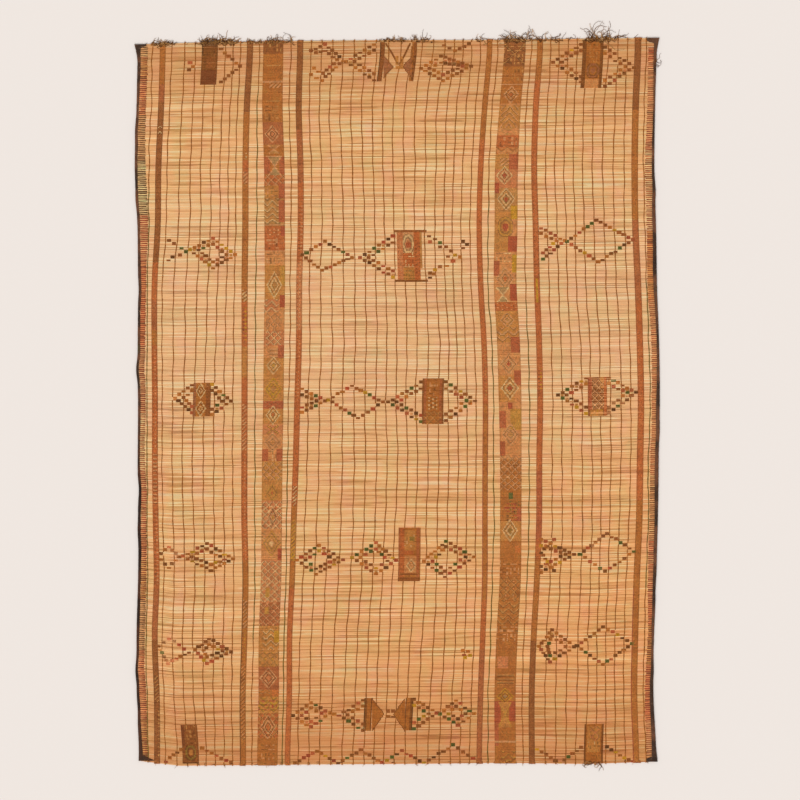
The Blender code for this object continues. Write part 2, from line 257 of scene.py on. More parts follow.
def sway(across, along):
    """How far each point of the weave lies to the right of its straight line."""
    across, along = np.broadcast_arrays(np.asarray(across, float), np.asarray(along, float))
    flat_across = across.ravel()
    strays = stray_at(along.ravel())
    left = np.clip(np.searchsorted(GUIDE_LINES, flat_across) - 1, 0, len(GUIDE_LINES) - 2)
    part = (flat_across - GUIDE_LINES[left]) / (GUIDE_LINES[left + 1] - GUIDE_LINES[left])
    part = np.clip(part, 0, 1)
    rows = np.arange(len(flat_across))
    found = strays[rows, left] * (1 - part) + strays[rows, left + 1] * part
    for side, middle, push in EDGE_KINKS:
        near = np.clip(1 - (GUIDE_LINES[-1] - side * flat_across) / KINK_REACH, 0, 1)
        found = found + push * near * np.exp(-((along.ravel() - middle) / KINK_SPREAD) ** 2)
    return found.reshape(across.shape)


def lift(across, along):
    """How far the mat stands off the ground where it ripples."""
    across, along = np.broadcast_arrays(np.asarray(across, float), np.asarray(along, float))
    height = 0.25 + 0.25 * np.sin(across / 173 + along / 260) * np.sin(along / 97 + 0.6)
    for k, (middle, rise, spread) in enumerate(RIPPLES):
        wave = middle + 14 * np.sin(across / 310 + 1.9 * k) + 6 * np.sin(across / 120 + k)
        strength = 0.55 + 0.45 * np.sin(across / (260 + 40 * k) + 2.3 * k)
        height = height + rise * strength * np.exp(-((along - wave) / spread) ** 2)
    return height


def along_at(across, share):
    """Distance of a stem from the middle: share runs from 0, the bottom end, to 1."""
    low = np.interp(across, END_LINES, BOTTOM_END)
    high = np.interp(across, END_LINES, TOP_END)
    wander = 1.1 * np.sin(across / 230 + 7 * share) + 0.4 * np.sin(across / 95 + 23 * share)
    free = np.clip(np.minimum(share, 1 - share) * 12, 0, 1)
    return low + (high - low) * share + wander * free


def share_at(across, along):
    low = np.interp(across, END_LINES, BOTTOM_END)
    high = np.interp(across, END_LINES, TOP_END)
    return (along - low) / (high - low)


def on_mat(across, along, height):
    """Points of the weave, in millimetres of the part's frame."""
    across, along, height = np.broadcast_arrays(across, along, height)
    x = across + sway(across, along) + MAT_CENTRE_X
    return np.stack((x, along + MAT_CENTRE_Y, height + lift(across, along)), axis=-1)


def from_photo(column, row):
    """A pixel of the photo as a place in the mat's frame."""
    return (column - MIDDLE_COLUMN) * MM_PER_PIXEL, (MIDDLE_ROW - row) * MM_PER_PIXEL


def photo_row(along):
    return MIDDLE_ROW - along / MM_PER_PIXEL


def thong_lines():
    lines = list(LONE_THONGS)
    for start, end, count, crowd in FIELDS:
        part = np.linspace(0, 1, count)
        lines += list(start + (end - start) * (part + crowd * part * (1 - part)))
    return sorted(lines)


def stem_shares():
    """Where each stem lies, in shares of the length. Every few stems one is thin; make_stems paints thin
    stems dark in stretches, as painted shade.
    """
    random = np.random.default_rng(11)
    length = TOP_END[3] - BOTTOM_END[3]
    count = round(length / STEM_PITCH)
    pitches = STEM_PITCH * np.clip(random.normal(1.02, 0.08, count), 0.82, 1.12)
    thin = np.zeros(count, bool)
    place = THIN_GAPS[0]
    while place < count:
        thin[place] = True
        place += random.integers(*THIN_GAPS)
    pitches[thin] *= THIN_SHARE
    ends = np.cumsum(pitches)
    return (ends - pitches / 2) / ends[-1], pitches * length / ends[-1], thin


SHARES, PITCHES, THIN = stem_shares()
STEMS = len(SHARES)


# Nodes and pieces


def plug(tree, node, inputs):
    """Gives inputs of a node a value, or a link from a socket or from a node's first output."""
    for name, value in dict(inputs).items():
        source = value.outputs[0] if isinstance(value, bpy.types.Node) else value
        if isinstance(source, bpy.types.NodeSocket):
            tree.links.new(source, node.inputs[name])
        else:
            node.inputs[name].default_value = source
    return node


def add(tree, kind, inputs=(), stops=(), **settings):
    """Adds a node with its settings and links, and the (place, colour) stops where it is a ramp."""
    made = tree.nodes.new(kind)
    for name, value in settings.items():
        setattr(made, name, value)
    if stops:
        elements = made.color_ramp.elements
        while len(elements) < len(stops):
            elements.new(0.5)
        for element, (place, shade) in zip(elements, stops):
            element.position = place
            element.color = colour(shade)
    return plug(tree, made, inputs)


def geometry_tree(name, **numbers):
    """An empty tree with a geometry input, and one named input for each number."""
    tree = bpy.data.node_groups.new(name, "GeometryNodeTree")
    sockets = tree.interface
    sockets.new_socket("Geometry", in_out="INPUT", socket_type="NodeSocketGeometry")
    sockets.new_socket("Geometry", in_out="OUTPUT", socket_type="NodeSocketGeometry")
    for label, value in numbers.items():
        kind = "NodeSocketInt" if isinstance(value, int) else "NodeSocketFloat"
        made = sockets.new_socket(label.replace("_", " "), in_out="INPUT", socket_type=kind)
        made.default_value = value
    sockets.new_socket("Material", in_out="INPUT", socket_type="NodeSocketMaterial")
    return tree, add(tree, "NodeGroupInput").outputs, add(tree, "NodeGroupOutput")


def close_tree(tree, geometry, given, out):
    """Ends a tree in real meshes with their material."""
    real = add(tree, "GeometryNodeRealizeInstances", {"Geometry": geometry})
    worn = add(tree, "GeometryNodeSetMaterial", {"Geometry": real, "Material": given["Material"]})
    plug(tree, out, {0: worn})
    return tree


def tube_tree():
    """Turns paths into round tubes, each point as thick as its attribute says."""
    tree, given, out = geometry_tree("tubes along paths", Sides=6, Thickness_scale=1.0)
    middle = add(tree, "GeometryNodeInputPosition")
    kept = add(tree, "GeometryNodeStoreNamedAttribute",
               {"Geometry": given["Geometry"], "Name": "axis", "Value": middle},
               data_type="FLOAT_VECTOR", domain="POINT")
    paths = add(tree, "GeometryNodeMeshToCurve", {"Mesh": kept})
    half = add(tree, "GeometryNodeInputNamedAttribute", {"Name": "half_thickness"}, data_type="FLOAT")
    scaled = add(tree, "ShaderNodeMath", {0: half, 1: given["Thickness scale"]}, operation="MULTIPLY")
    thick = add(tree, "GeometryNodeSetCurveRadius", {"Curve": paths, "Radius": scaled})
    ring = add(tree, "GeometryNodeCurvePrimitiveCircle", {"Resolution": given["Sides"], "Radius": 1.0})
    tubes = add(tree, "GeometryNodeCurveToMesh",
                {"Curve": thick, "Profile Curve": ring, "Fill Caps": True})
    if "Scale" in tubes.inputs:
        plug(tree, tubes, {"Scale": scaled})
    smooth = add(tree, "GeometryNodeSetShadeSmooth", {"Geometry": tubes})
    return close_tree(tree, smooth, given, out)


def lap_tree():
    """Sets one lap of leather on every point: a strip that rises over a stem and dips beside it."""
    tree, given, out = geometry_tree("leather laps over stems", Ridge_width=0.82)
    block = add(tree, "GeometryNodeMeshCube", {"Size": (1.0, 1.0, 1.0)})
    where = add(tree, "GeometryNodeInputPosition")
    parts = add(tree, "ShaderNodeSeparateXYZ", {0: where}).outputs
    narrow = add(tree, "ShaderNodeMath", {0: parts["X"], 1: given["Ridge width"]}, operation="MULTIPLY")
    ridge = add(tree, "ShaderNodeCombineXYZ", {"X": narrow, "Z": 0.5})
    upper = add(tree, "FunctionNodeCompare", {0: parts["Z"], 1: 0.0},
                data_type="FLOAT", operation="GREATER_THAN")
    roofed = add(tree, "GeometryNodeSetPosition",
                 {"Geometry": block, "Selection": upper, "Position": ridge})
    merged = add(tree, "GeometryNodeMergeByDistance", {"Geometry": roofed, "Distance": 0.01})
    raised = add(tree, "GeometryNodeTransform", {"Geometry": merged, "Translation": (0.0, 0.0, 0.5)})
    marked = add(tree, "GeometryNodeStoreNamedAttribute",
                 {"Geometry": raised, "Name": "lap_place", "Value": where},
                 data_type="FLOAT_VECTOR", domain="POINT")
    smooth = add(tree, "GeometryNodeSetShadeSmooth", {"Geometry": marked})
    size = add(tree, "GeometryNodeInputNamedAttribute", {"Name": "lap_size"}, data_type="FLOAT_VECTOR")
    slant = add(tree, "GeometryNodeInputNamedAttribute", {"Name": "slant"}, data_type="FLOAT")
    turn = add(tree, "ShaderNodeCombineXYZ", {"Z": slant})
    turned = add(tree, "FunctionNodeEulerToRotation", {0: turn})
    laps = add(tree, "GeometryNodeInstanceOnPoints",
               {"Points": given["Geometry"], "Instance": smooth, "Rotation": turned, "Scale": size})
    return close_tree(tree, laps, given, out)


def give(mesh, name, kind, values):
    """Stores one value for each point of a mesh."""
    attribute = mesh.attributes.new(name, kind, "POINT")
    field = {"FLOAT": "value", "FLOAT_VECTOR": "vector", "FLOAT_COLOR": "color"}[kind]
    attribute.data.foreach_set(field, np.ascontiguousarray(values, dtype=np.float32).ravel())


def take(mesh, name, width):
    """Reads one value for each point of a mesh."""
    found = np.empty(len(mesh.vertices) * width, dtype=np.float32)
    mesh.attributes[name].data.foreach_get({1: "value", 3: "vector"}[width], found)
    return found.reshape(-1, width)


def show(name, data):
    item = bpy.data.objects.new(name, data)
    bpy.context.scene.collection.objects.link(item)
    return item


def grown(name, mesh, tree, material, **numbers):
    """Runs a tree on a mesh and keeps the result as a plain mesh."""
    item = show(name, mesh)
    modifier = item.modifiers.new("grow", "NODES")
    modifier.node_group = tree
    for socket in tree.interface.items_tree:
        label = socket.name.replace(" ", "_")
        if socket.in_out == "INPUT" and label in numbers:
            modifier[socket.identifier] = numbers[label]
        if socket.in_out == "INPUT" and socket.name == "Material":
            modifier[socket.identifier] = material
    seen = item.evaluated_get(bpy.context.evaluated_depsgraph_get())
    result = bpy.data.meshes.new_from_object(seen)
    item.modifiers.remove(modifier)
    item.data = result
    bpy.data.meshes.remove(mesh)
    result.name = name
    return item


def finish_piece(item, nodes=()):
    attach(item, "root")
    if nodes:
        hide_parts(*nodes)
    return item


def write_map(mesh, places):
    """Lays a piece out flat for baking: one place for each point."""
    layer = mesh.uv_layers.new(name="OFBake")
    corners = np.empty(len(mesh.loops), dtype=np.int32)
    mesh.loops.foreach_get("vertex_index", corners)
    layer.uv.foreach_set("vector", np.ascontiguousarray(places[corners], dtype=np.float32).ravel())


def paths_mesh(name, paths):
    """A mesh of loose paths; paths is (count, points, 3) in millimetres."""
    count, points, _ = paths.shape
    mesh = bpy.data.meshes.new(name)
    starts = np.arange(count * points).reshape(count, points)[:, :-1].ravel()
    mesh.vertices.add(count * points)
    mesh.vertices.foreach_set("co", (paths * MM).astype(np.float32).ravel())
    mesh.edges.add(len(starts))
    mesh.edges.foreach_set("vertices", np.stack((starts, starts + 1), axis=1).astype(np.int32).ravel())
    mesh.update()
    return mesh


# Materials


def new_material(name):
    material = bpy.data.materials.new(name)
    material.use_nodes = True
    return material, material.node_tree


def colour(name_or_hex):
    return (*linear(DYES.get(name_or_hex, name_or_hex)), 1.0)


def surface(tree, shade, roughness, height, strength, depth_mm, specular, ior=1.5):
    """Joins a colour, a roughness and a bump's height to the material's shader."""
    bump = add(tree, "ShaderNodeBump",
               {"Strength": strength, "Distance": depth_mm * MM, "Height": height})
    plug(tree, tree.nodes["Principled BSDF"],
         {"Base Color": shade, "Roughness": roughness, "Normal": bump, "IOR": ior,
          "Specular IOR Level": specular})


def reed_material():
    """Sun dried reed stems, peeled and smoothed by use: straw to honey, satin, streaked along."""
    material, tree = new_material("dried reed stems, peeled")
    row = add(tree, "ShaderNodeAttribute", attribute_name="stem_row").outputs["Fac"]
    tone = add(tree, "ShaderNodeAttribute", attribute_name="stem_tone").outputs["Fac"]
    where = add(tree, "ShaderNodeTexCoord").outputs["Object"]
    parts = add(tree, "ShaderNodeSeparateXYZ", {0: where}).outputs

    def streaks(length, seed, detail):
        """Noise that runs along a stem and changes from one stem to the next."""
        run = add(tree, "ShaderNodeMath", {0: parts["X"], 1: 1 / (length * MM)}, operation="MULTIPLY")
        step = add(tree, "ShaderNodeMath", {0: row, 1: 3.71, 2: seed}, operation="MULTIPLY_ADD")
        flat = add(tree, "ShaderNodeCombineXYZ", {"X": run, "Y": step})
        return add(tree, "ShaderNodeTexNoise",
                   {"Vector": flat, "Scale": 1.0, "Detail": detail, "Roughness": 0.55},
                   noise_dimensions="2D")

    flecks = streaks(14.0, 40.5, 1.0)
    value = add(tree, "ShaderNodeMath", {0: streaks(420.0, 0.0, 2.0), 1: 0.36, 2: 0.335},
                operation="MULTIPLY_ADD")
    value = add(tree, "ShaderNodeMath", {0: flecks, 1: 0.08, 2: value}, operation="MULTIPLY_ADD")
    # Here and there a stem is painted lighter or darker for a hand's width: the light dashes are a
    # painted sheen of a shiny stem, the dark ones painted shade where stems part.
    dashes = streaks(280.0, 77.3, 0.0)
    painted_sheen = add(tree, "ShaderNodeMapRange",
                 {"Value": dashes, "From Min": 0.62, "From Max": 0.70, "To Max": 0.22})
    painted_gap_shade = add(tree, "ShaderNodeMapRange",
                 {"Value": dashes, "From Min": 0.38, "From Max": 0.30, "To Max": -0.30})
    sheen_and_gap_shade = add(tree, "ShaderNodeMath", {0: painted_sheen, 1: painted_gap_shade}, operation="ADD")
    value = add(tree, "ShaderNodeMath", {0: value, 1: sheen_and_gap_shade}, operation="ADD")
    value = add(tree, "ShaderNodeMath", {0: tone, 1: 0.30, 2: value}, operation="MULTIPLY_ADD")
    straw = add(tree, "ShaderNodeValToRGB", {"Fac": value}, stops=(
        (0.32, "#AC6C30"), (0.47, "#DE9858"), (0.62, "#F2B476"), (0.77, "#FFCA8C"), (0.92, "#FFE6B2")))
    # Whole stretches of the mat are a little pinker or greener, as cut in other seasons.
    stretched = add(tree, "ShaderNodeMapping", {"Vector": where, "Scale": (14.0, 9.0, 1.0)})
    patches = add(tree, "ShaderNodeTexNoise", {"Vector": stretched, "Scale": 1.0, "Detail": 2.0})
    tints = add(tree, "ShaderNodeValToRGB", {"Fac": patches}, stops=(
        (0.34, "#E6C67C"), (0.47, "#F2BC78"), (0.56, "#F4B87A"), (0.68, "#F8B286")))
    tinted = add(tree, "ShaderNodeMix", {0: 0.36, 6: straw, 7: tints}, data_type="RGBA").outputs[2]
    # The middle has bleached in the sun, and both ends are browner from feet and hands.
    off = add(tree, "ShaderNodeMath", {0: parts["Y"], 1: 0.25}, operation="SUBTRACT")
    off = add(tree, "ShaderNodeMath", {0: off}, operation="ABSOLUTE")
    bleached = add(tree, "ShaderNodeMapRange",
                   {"Value": off, "From Min": 0.60, "From Max": 0.15, "To Max": 0.14},
                   interpolation_type="SMOOTHSTEP")
    paler = add(tree, "ShaderNodeMix", {0: bleached, 6: tinted, 7: colour("#FCE2C0")},
                data_type="RGBA").outputs[2]
    from_middle = add(tree, "ShaderNodeMath", {0: parts["Y"]}, operation="ABSOLUTE")
    soiled = add(tree, "ShaderNodeMapRange",
                 {"Value": from_middle, "From Min": 0.85, "From Max": 1.22, "To Max": 1.0},
                 interpolation_type="SMOOTHSTEP")
    browner = add(tree, "ShaderNodeMix", {0: soiled, 6: paler, 7: colour("#E9DCD4")},
                  data_type="RGBA", blend_type="MULTIPLY").outputs[2]
    # The lower end is a little yellower, the most so on the right.
    slanted = add(tree, "ShaderNodeMath", {0: parts["X"], 1: -0.5, 2: parts["Y"]},
                  operation="MULTIPLY_ADD")
    yellowed = add(tree, "ShaderNodeMapRange",
                   {"Value": slanted, "From Min": -0.35, "From Max": -1.10, "To Max": 1.0})
    warmer = add(tree, "ShaderNodeMix", {0: yellowed, 6: browner, 7: colour("#FFF2E6")},
                 data_type="RGBA", blend_type="MULTIPLY").outputs[2]
    # Painted shade: the low sides of every stem are darkened to brown, as the grooves between stems lie
    # in shade.
    groove = add(tree, "ShaderNodeAttribute", attribute_name="groove").outputs["Fac"]
    painted_groove_shade = add(tree, "ShaderNodeMapRange",
                {"Value": groove, "From Min": 0.0, "From Max": 0.84, "To Min": 0.84, "To Max": 0.0},
                interpolation_type="SMOOTHSTEP")
    groove_shaded = add(tree, "ShaderNodeMix", {0: painted_groove_shade, 6: warmer, 7: colour("#9E5C20")},
                data_type="RGBA").outputs[2]
    dull = add(tree, "ShaderNodeMapRange", {"Value": flecks, "To Min": 0.46, "To Max": 0.66})
    # Fibres 0.5 mm apart run along every stem.
    fine = add(tree, "ShaderNodeMapping", {"Vector": where, "Scale": (40.0, 2000.0, 2000.0)})
    fibres = add(tree, "ShaderNodeTexNoise", {"Vector": fine, "Scale": 1.0, "Detail": 1.0})
    surface(tree, groove_shaded, dull, fibres, strength=0.25, depth_mm=0.2, specular=0.35, ior=1.46)
    return material


def leather_material(name, wear_shade, rubbed_share, patch_mm, roughness):
    """Narrow dyed goat leather strips: matt, uneven in dye, rubbed paler on their ridges."""
    material, tree = new_material(name)
    dyed = add(tree, "ShaderNodeAttribute", attribute_name="dye").outputs["Color"]
    place = add(tree, "ShaderNodeAttribute", attribute_name="lap_place").outputs["Vector"]
    ridge = add(tree, "ShaderNodeSeparateXYZ", {0: place}).outputs["Z"]
    where = add(tree, "ShaderNodeTexCoord").outputs["Object"]
    patches = add(tree, "ShaderNodeTexNoise",
                  {"Vector": where, "Scale": 1 / (patch_mm * MM), "Detail": 3.0, "Roughness": 0.6})
    shade = add(tree, "ShaderNodeValToRGB", {"Fac": patches}, stops=(
        (0.28, "#E2D0B8"), (0.48, "#FFF2DA"), (0.66, "#FFFFEA")))
    uneven = add(tree, "ShaderNodeMix", {0: 1.0, 6: dyed, 7: shade},
                 data_type="RGBA", blend_type="MULTIPLY").outputs[2]
    # Rubbing reaches only the top of each lap.
    rubbed = add(tree, "ShaderNodeMapRange",
                 {"Value": ridge, "From Min": 0.25, "From Max": 1.0, "To Max": rubbed_share})
    worn = add(tree, "ShaderNodeMix", {0: rubbed, 6: uneven, 7: colour(wear_shade)},
               data_type="RGBA").outputs[2]
    dull = add(tree, "ShaderNodeMapRange",
               {"Value": patches, "To Min": roughness - 0.10, "To Max": roughness + 0.12})
    # Leather grain, pebbles of about 0.7 mm.
    grain = add(tree, "ShaderNodeTexNoise", {"Vector": where, "Scale": 1400.0, "Detail": 2.0})
    surface(tree, worn, dull, grain, strength=0.35, depth_mm=0.2, specular=0.14)
    return material


def black_leather_material():
    """Blackened leather folded over the edge: rubbed to purple brown, creased across the fold."""
    material, tree = new_material("blackened leather, worn")
    where = add(tree, "ShaderNodeTexCoord").outputs["Object"]
    parts = add(tree, "ShaderNodeSeparateXYZ", {0: where}).outputs
    patches = add(tree, "ShaderNodeTexNoise",
                  {"Vector": where, "Scale": 1 / (130 * MM), "Detail": 5.0, "Roughness": 0.55})
    shade = add(tree, "ShaderNodeValToRGB", {"Fac": patches}, stops=(
        (0.34, "#2A1A0E"), (0.46, "#3C2616"), (0.55, "#6A4028"), (0.63, "#4E3420"), (0.74, "#4A4420")))
    scuffs = add(tree, "ShaderNodeTexNoise",
                 {"Vector": where, "Scale": 1 / (7 * MM), "Detail": 3.0, "Roughness": 0.7})
    scuffed = add(tree, "ShaderNodeMapRange",
                  {"Value": scuffs, "From Min": 0.56, "From Max": 0.78, "To Max": 0.5})
    worn = add(tree, "ShaderNodeMix", {0: scuffed, 6: shade, 7: colour("#94705A")},
               data_type="RGBA").outputs[2]
    # The lower half of the left edge has kept more of its black.
    lower = add(tree, "ShaderNodeMapRange",
                {"Value": parts["Y"], "From Min": 0.05, "From Max": -0.30, "To Max": 1.0})
    left = add(tree, "ShaderNodeMath", {0: parts["X"], 1: 0.0}, operation="LESS_THAN")
    kept = add(tree, "ShaderNodeMath", {0: lower, 1: left}, operation="MULTIPLY")
    blacker = add(tree, "ShaderNodeMix", {0: kept, 6: worn, 7: colour("#BEB0A0")},
                  data_type="RGBA", blend_type="MULTIPLY").outputs[2]
    dull = add(tree, "ShaderNodeMapRange", {"Value": scuffs, "To Min": 0.55, "To Max": 0.85})
    # Creases about 6 mm apart where the strip bends round the swaying edge.
    stretched = add(tree, "ShaderNodeMapping", {"Vector": where, "Scale": (45.0, 170.0, 45.0)})
    creases = add(tree, "ShaderNodeTexVoronoi", {"Vector": stretched, "Scale": 1.0},
                  feature="DISTANCE_TO_EDGE").outputs["Distance"]
    soft = add(tree, "ShaderNodeMapRange", {"Value": creases, "From Max": 0.16})
    surface(tree, blacker, dull, soft, strength=0.5, depth_mm=0.6, specular=0.22)
    return material


def frayed_material():
    """Dry curled thong ends: brown, tan where they are rubbed and darker where they twist."""
    material, tree = new_material("dry frayed leather ends")
    where = add(tree, "ShaderNodeTexCoord").outputs["Object"]
    tone = add(tree, "ShaderNodeAttribute", attribute_name="strand_tone").outputs["Fac"]
    stripes = add(tree, "ShaderNodeTexNoise", {"Vector": where, "Scale": 1 / (5 * MM), "Detail": 2.0})
    value = add(tree, "ShaderNodeMath", {0: stripes, 1: 0.55}, operation="MULTIPLY")
    value = add(tree, "ShaderNodeMath", {0: tone, 1: 0.45, 2: value}, operation="MULTIPLY_ADD")
    shade = add(tree, "ShaderNodeValToRGB", {"Fac": value}, stops=(
        (0.25, "#3A1E08"), (0.45, "#643A14"), (0.62, "#946430"), (0.82, "#D2A468")))
    surface(tree, shade, 0.82, stripes, strength=0.4, depth_mm=0.3, specular=0.2)
    return material


# Stems

# Places of a stem's points across the mat. The stems bend a little at the woven bands.
STEM_POINTS = (-881.8, -808.0, -734.0, -630.0, -528.0, -425.0, -335.0, -245.0, -155.0, -58.0,
               38.0, 134.0, 216.0, 300.0, 382.0, 470.0, 560.0, 648.0, 765.0, 880.8)
# The flat layout for baking: columns of strips, each strip one stem, and half a strip's length.
STRIP_COLUMNS = 3
STRIP_HALF_LENGTH = 905.0


def make_stems(tree, material):
    """Every stem as a tube, a little thicker at its butt end."""
    random = np.random.default_rng(23)
    points = len(STEM_POINTS)
    across = np.array(STEM_POINTS)[None, :]
    share = SHARES[:, None]
    along = along_at(across, share)
    height = STEM_AXIS - 0.1 + random.uniform(-0.1, 0.1, (STEMS, 1))
    height = height + random.uniform(-0.05, 0.05, (STEMS, points)) - 0.35 * THIN[:, None]
    half = 0.5 * np.clip(PITCHES * 1.03, THINNEST_STEM, THICKEST_STEM)[:, None]
    taper = random.choice((-1.0, 1.0), (STEMS, 1)) * np.linspace(-0.05, 0.05, points)[None, :]
    half = half * (1 + taper + random.uniform(-0.025, 0.025, (STEMS, points)))
    paths = on_mat(across, along, height)
    mesh = paths_mesh("reed_stems", paths)
    give(mesh, "half_thickness", "FLOAT", half * MM)
    give(mesh, "stem_row", "FLOAT", np.repeat(np.arange(STEMS), points))
    # Stems come in bundles of much the same colour.
    bundles = np.repeat(random.uniform(0.46, 0.54, STEMS // 7 + 1), 7)[:STEMS, None]
    tone = bundles + random.normal(0, 0.15, (STEMS, 1)) + random.normal(0, 0.11, (STEMS, points))
    # Stems are laid butt to tip, so every other one is darker at the same place.
    turn = np.where(np.arange(STEMS) % 2, 1.0, -1.0)[:, None]
    swell = np.repeat(random.uniform(0.0, 0.08, (STEMS // 16 + 1, points)), 16, axis=0)[:STEMS]
    tone = tone + turn * swell
    # Thin stems are painted dark for a stretch and straw coloured for the next; the dark stretches are
    # painted shade, as in a gap between stems.
    stretches = random.uniform(-0.6, 0.45, (THIN.sum(), points // 3 + 1))
    tone[THIN] = np.repeat(stretches, 3, axis=1)[:, :points]
    give(mesh, "stem_tone", "FLOAT", np.clip(tone, -0.75, 1.1))
    item = grown("reed_stems", mesh, tree, material, Sides=6)
    mesh = item.data
    row = take(mesh, "stem_row", 1)[:, 0].round()
    place = np.empty(len(mesh.vertices) * 3, dtype=np.float32)
    mesh.vertices.foreach_get("co", place)
    place = place.reshape(-1, 3)
    axis = take(mesh, "axis", 3)
    run = (place[:, 0] / MM + STRIP_HALF_LENGTH) / (2 * STRIP_HALF_LENGTH)
    off = np.clip((place[:, 1] - axis[:, 1]) / MM / (THICKEST_STEM / 2), -1, 1)
    strips = -(-STEMS // STRIP_COLUMNS)
    u = (row % STRIP_COLUMNS + 0.01 + 0.98 * np.clip(run, 0, 1)) / STRIP_COLUMNS
    v = (row // STRIP_COLUMNS + 0.5 + 0.42 * off) / strips
    write_map(mesh, np.stack((u, v), axis=1))
    # How high each point lies on its stem's round; the reed material paints shade on the low sides.
    give(mesh, "groove", "FLOAT", (place[:, 2] - axis[:, 2]) / MM / (STEM_THICKNESS / 2))
    mesh.attributes.remove(mesh.attributes["axis"])
    return finish_piece(item, ["reed_sheet"])


# Lacing


class Laps:
    """Laps of leather gathered for one piece: place, size, slant and dye of each."""

    def __init__(self, seed):
        self.random = np.random.default_rng(seed)
        self.rows = []

    def add(self, place, width, pitch, slant, shade, rise=LAP_RISE, spread=0.10):
        """place is (count, 3) at the stem's foot; the rest is one value or one for each lap."""
        count = len(place)
        if not count:
            return
        size = np.empty((count, 3))
        size[:, 0] = width
        size[:, 1] = pitch
        size[:, 2] = rise * self.random.uniform(0.88, 1.12, count)
        turned = np.broadcast_to(slant, (count,)) + self.random.normal(0, 0.05, count)
        shades = np.broadcast_to(shade, (count, 3)) * (1 + self.random.normal(0, spread, (count, 1)))
        rows = np.hstack((place, size, turned[:, None], np.clip(shades, 0.004, 1)))
        self.rows.append(rows[~np.isnan(rows[:, 7])])

    def make(self, name, tree, material, nodes=()):
        rows = np.vstack(self.rows)
        mesh = bpy.data.meshes.new(name)
        mesh.vertices.add(len(rows))
        mesh.vertices.foreach_set("co", (rows[:, :3] * MM).astype(np.float32).ravel())
        give(mesh, "lap_size", "FLOAT_VECTOR", rows[:, 3:6] * MM)
        give(mesh, "slant", "FLOAT", rows[:, 6])
        give(mesh, "dye", "FLOAT_COLOR", np.hstack((rows[:, 7:], np.ones((len(rows), 1)))))
        item = grown(name, mesh, tree, material)
        mesh = item.data
        # Each lap has its own square of the flat layout.
        points = len(mesh.vertices) // len(rows)
        lap = np.arange(len(mesh.vertices)) // points
        side = int(np.ceil(np.sqrt(len(rows))))
        place = take(mesh, "lap_place", 3)
        u = (lap % side + 0.5 + 0.78 * place[:, 0]) / side
        v = (lap // side + 0.5 + 0.78 * place[:, 1]) / side
        write_map(mesh, np.stack((u, v), axis=1))
        for spare in ("lap_size", "slant"):
            if spare in mesh.attributes:
                mesh.attributes.remove(mesh.attributes[spare])
        return finish_piece(item, nodes)


def stem_rows_between(across, low, high):
    """Numbers of the stems that lie between two distances along the mat."""
    along = along_at(across, SHARES)
    return np.nonzero((along >= low) & (along <= high))[0]


def lap_line(across, rows):
    """Feet of the laps where one thong crosses the given stems."""
    return on_mat(across, along_at(across, SHARES[rows]), LAP_FOOT)


def beside(x, rows):
    """Feet of laps over the given stems at straight distances across, whatever the sway there."""
    level = along_at(x, SHARES[rows])
    return np.stack((x + MAT_CENTRE_X, level + MAT_CENTRE_Y, LAP_FOOT + lift(x, level)), axis=-1)


def lean(across, along, level):
    """How far the weave at each level lies to the right of where it is at one place."""
    return sway(across, level) - sway(across, along)


def panel_line(name, rows, column_offset):
    """Feet of a panel's laps in one column; the panel leans as the thongs round it do."""
    across, along, _, _ = PANELS[name]
    level = along_at(across, SHARES[rows])
    return beside(across + column_offset + lean(across, along, level), rows)


# The second row's panel has bare stems beside its bars, so it covers less than its size.
COVERS = {"panel_second_row": (39, 497, 78, 174)}
# A thin thong whose middle comes this close to a panel or a brick runs below it.
PANEL_MARGIN = 1.5
BRICK_MARGIN = 2.0


def in_panels(place):
    """Which laps lie under a panel, where a plain thong does not show."""
    covered = np.zeros(len(place), bool)
    level = place[:, 1] - MAT_CENTRE_Y
    for name, whole in PANELS.items():
        across, along, width, height = COVERS.get(name, whole)
        off = np.abs(place[:, 0] - MAT_CENTRE_X - across - lean(across, along, level))
        covered |= (off < width / 2 + PANEL_MARGIN) & (np.abs(level - along) < height / 2)
    return covered


# Patterns. u and v are laps from the middle of the stretch, w and h its half sizes.
# Each takes all four, and gives 1 where its line runs, 2 in its heart, 3 where dark laps
# set the line off, and 0 elsewhere.


def fill(u, v, w, h):
    return np.ones(u.shape, int)


def striped(climb, light, dark):
    """A light line with a dark one beside it; climb is the distance from the light one's side."""
    return np.where(climb < light, 1, np.where(climb < dark, 3, 0))


def rings(u, v, w, h):
    """Diamonds inside one another round a filled heart."""
    reach = np.abs(u) / w + np.abs(v) / h
    depth = (1 - reach) * min(w, h)
    ring = striped(np.mod(depth, 3.3), 1.25, 2.2)
    return np.where(depth < 0, 0, np.where(reach < 0.24, 2, ring))


def lattice(u, v, w, h):
    """Small diamonds side by side, each with a dot."""
    climb = np.minimum(np.mod(u + v, 7.0), np.mod(u - v, 7.0))
    dot = (np.abs(np.mod(u, 7) - 3.5) < 0.8) & (np.abs(np.mod(v + 3.5, 7) - 3.5) < 0.8)
    return np.where(climb < 1.15, 1, np.where(dot, 2, np.where(climb < 2.1, 3, 0)))


def zigzag(u, v, w, h):
    return striped(np.mod(v + np.abs(np.mod(u, 10) - 5), 6), 1.2, 2.3)


def slashes(u, v, w, h):
    return striped(np.mod(u + v, 4), 1.3, 2.4)


def peaks(u, v, w, h):
    return striped(np.mod(v - 1.2 * np.abs(u), 6), 1.3, 2.4)


def cross(u, v, w, h):
    return striped(np.abs(np.abs(u) / w - np.abs(v) / h) * min(w, h), 0.7, 1.5)


def bars(u, v, w, h):
    return striped(np.mod(v, 4), 1.2, 2.3)


def hourglass(u, v, w, h):
    wide = np.abs(v) / h
    off = np.abs(u) / w
    return np.where(np.abs(off - wide) * w < 0.7, 1, np.where(off < wide - 0.1, 2, 0))


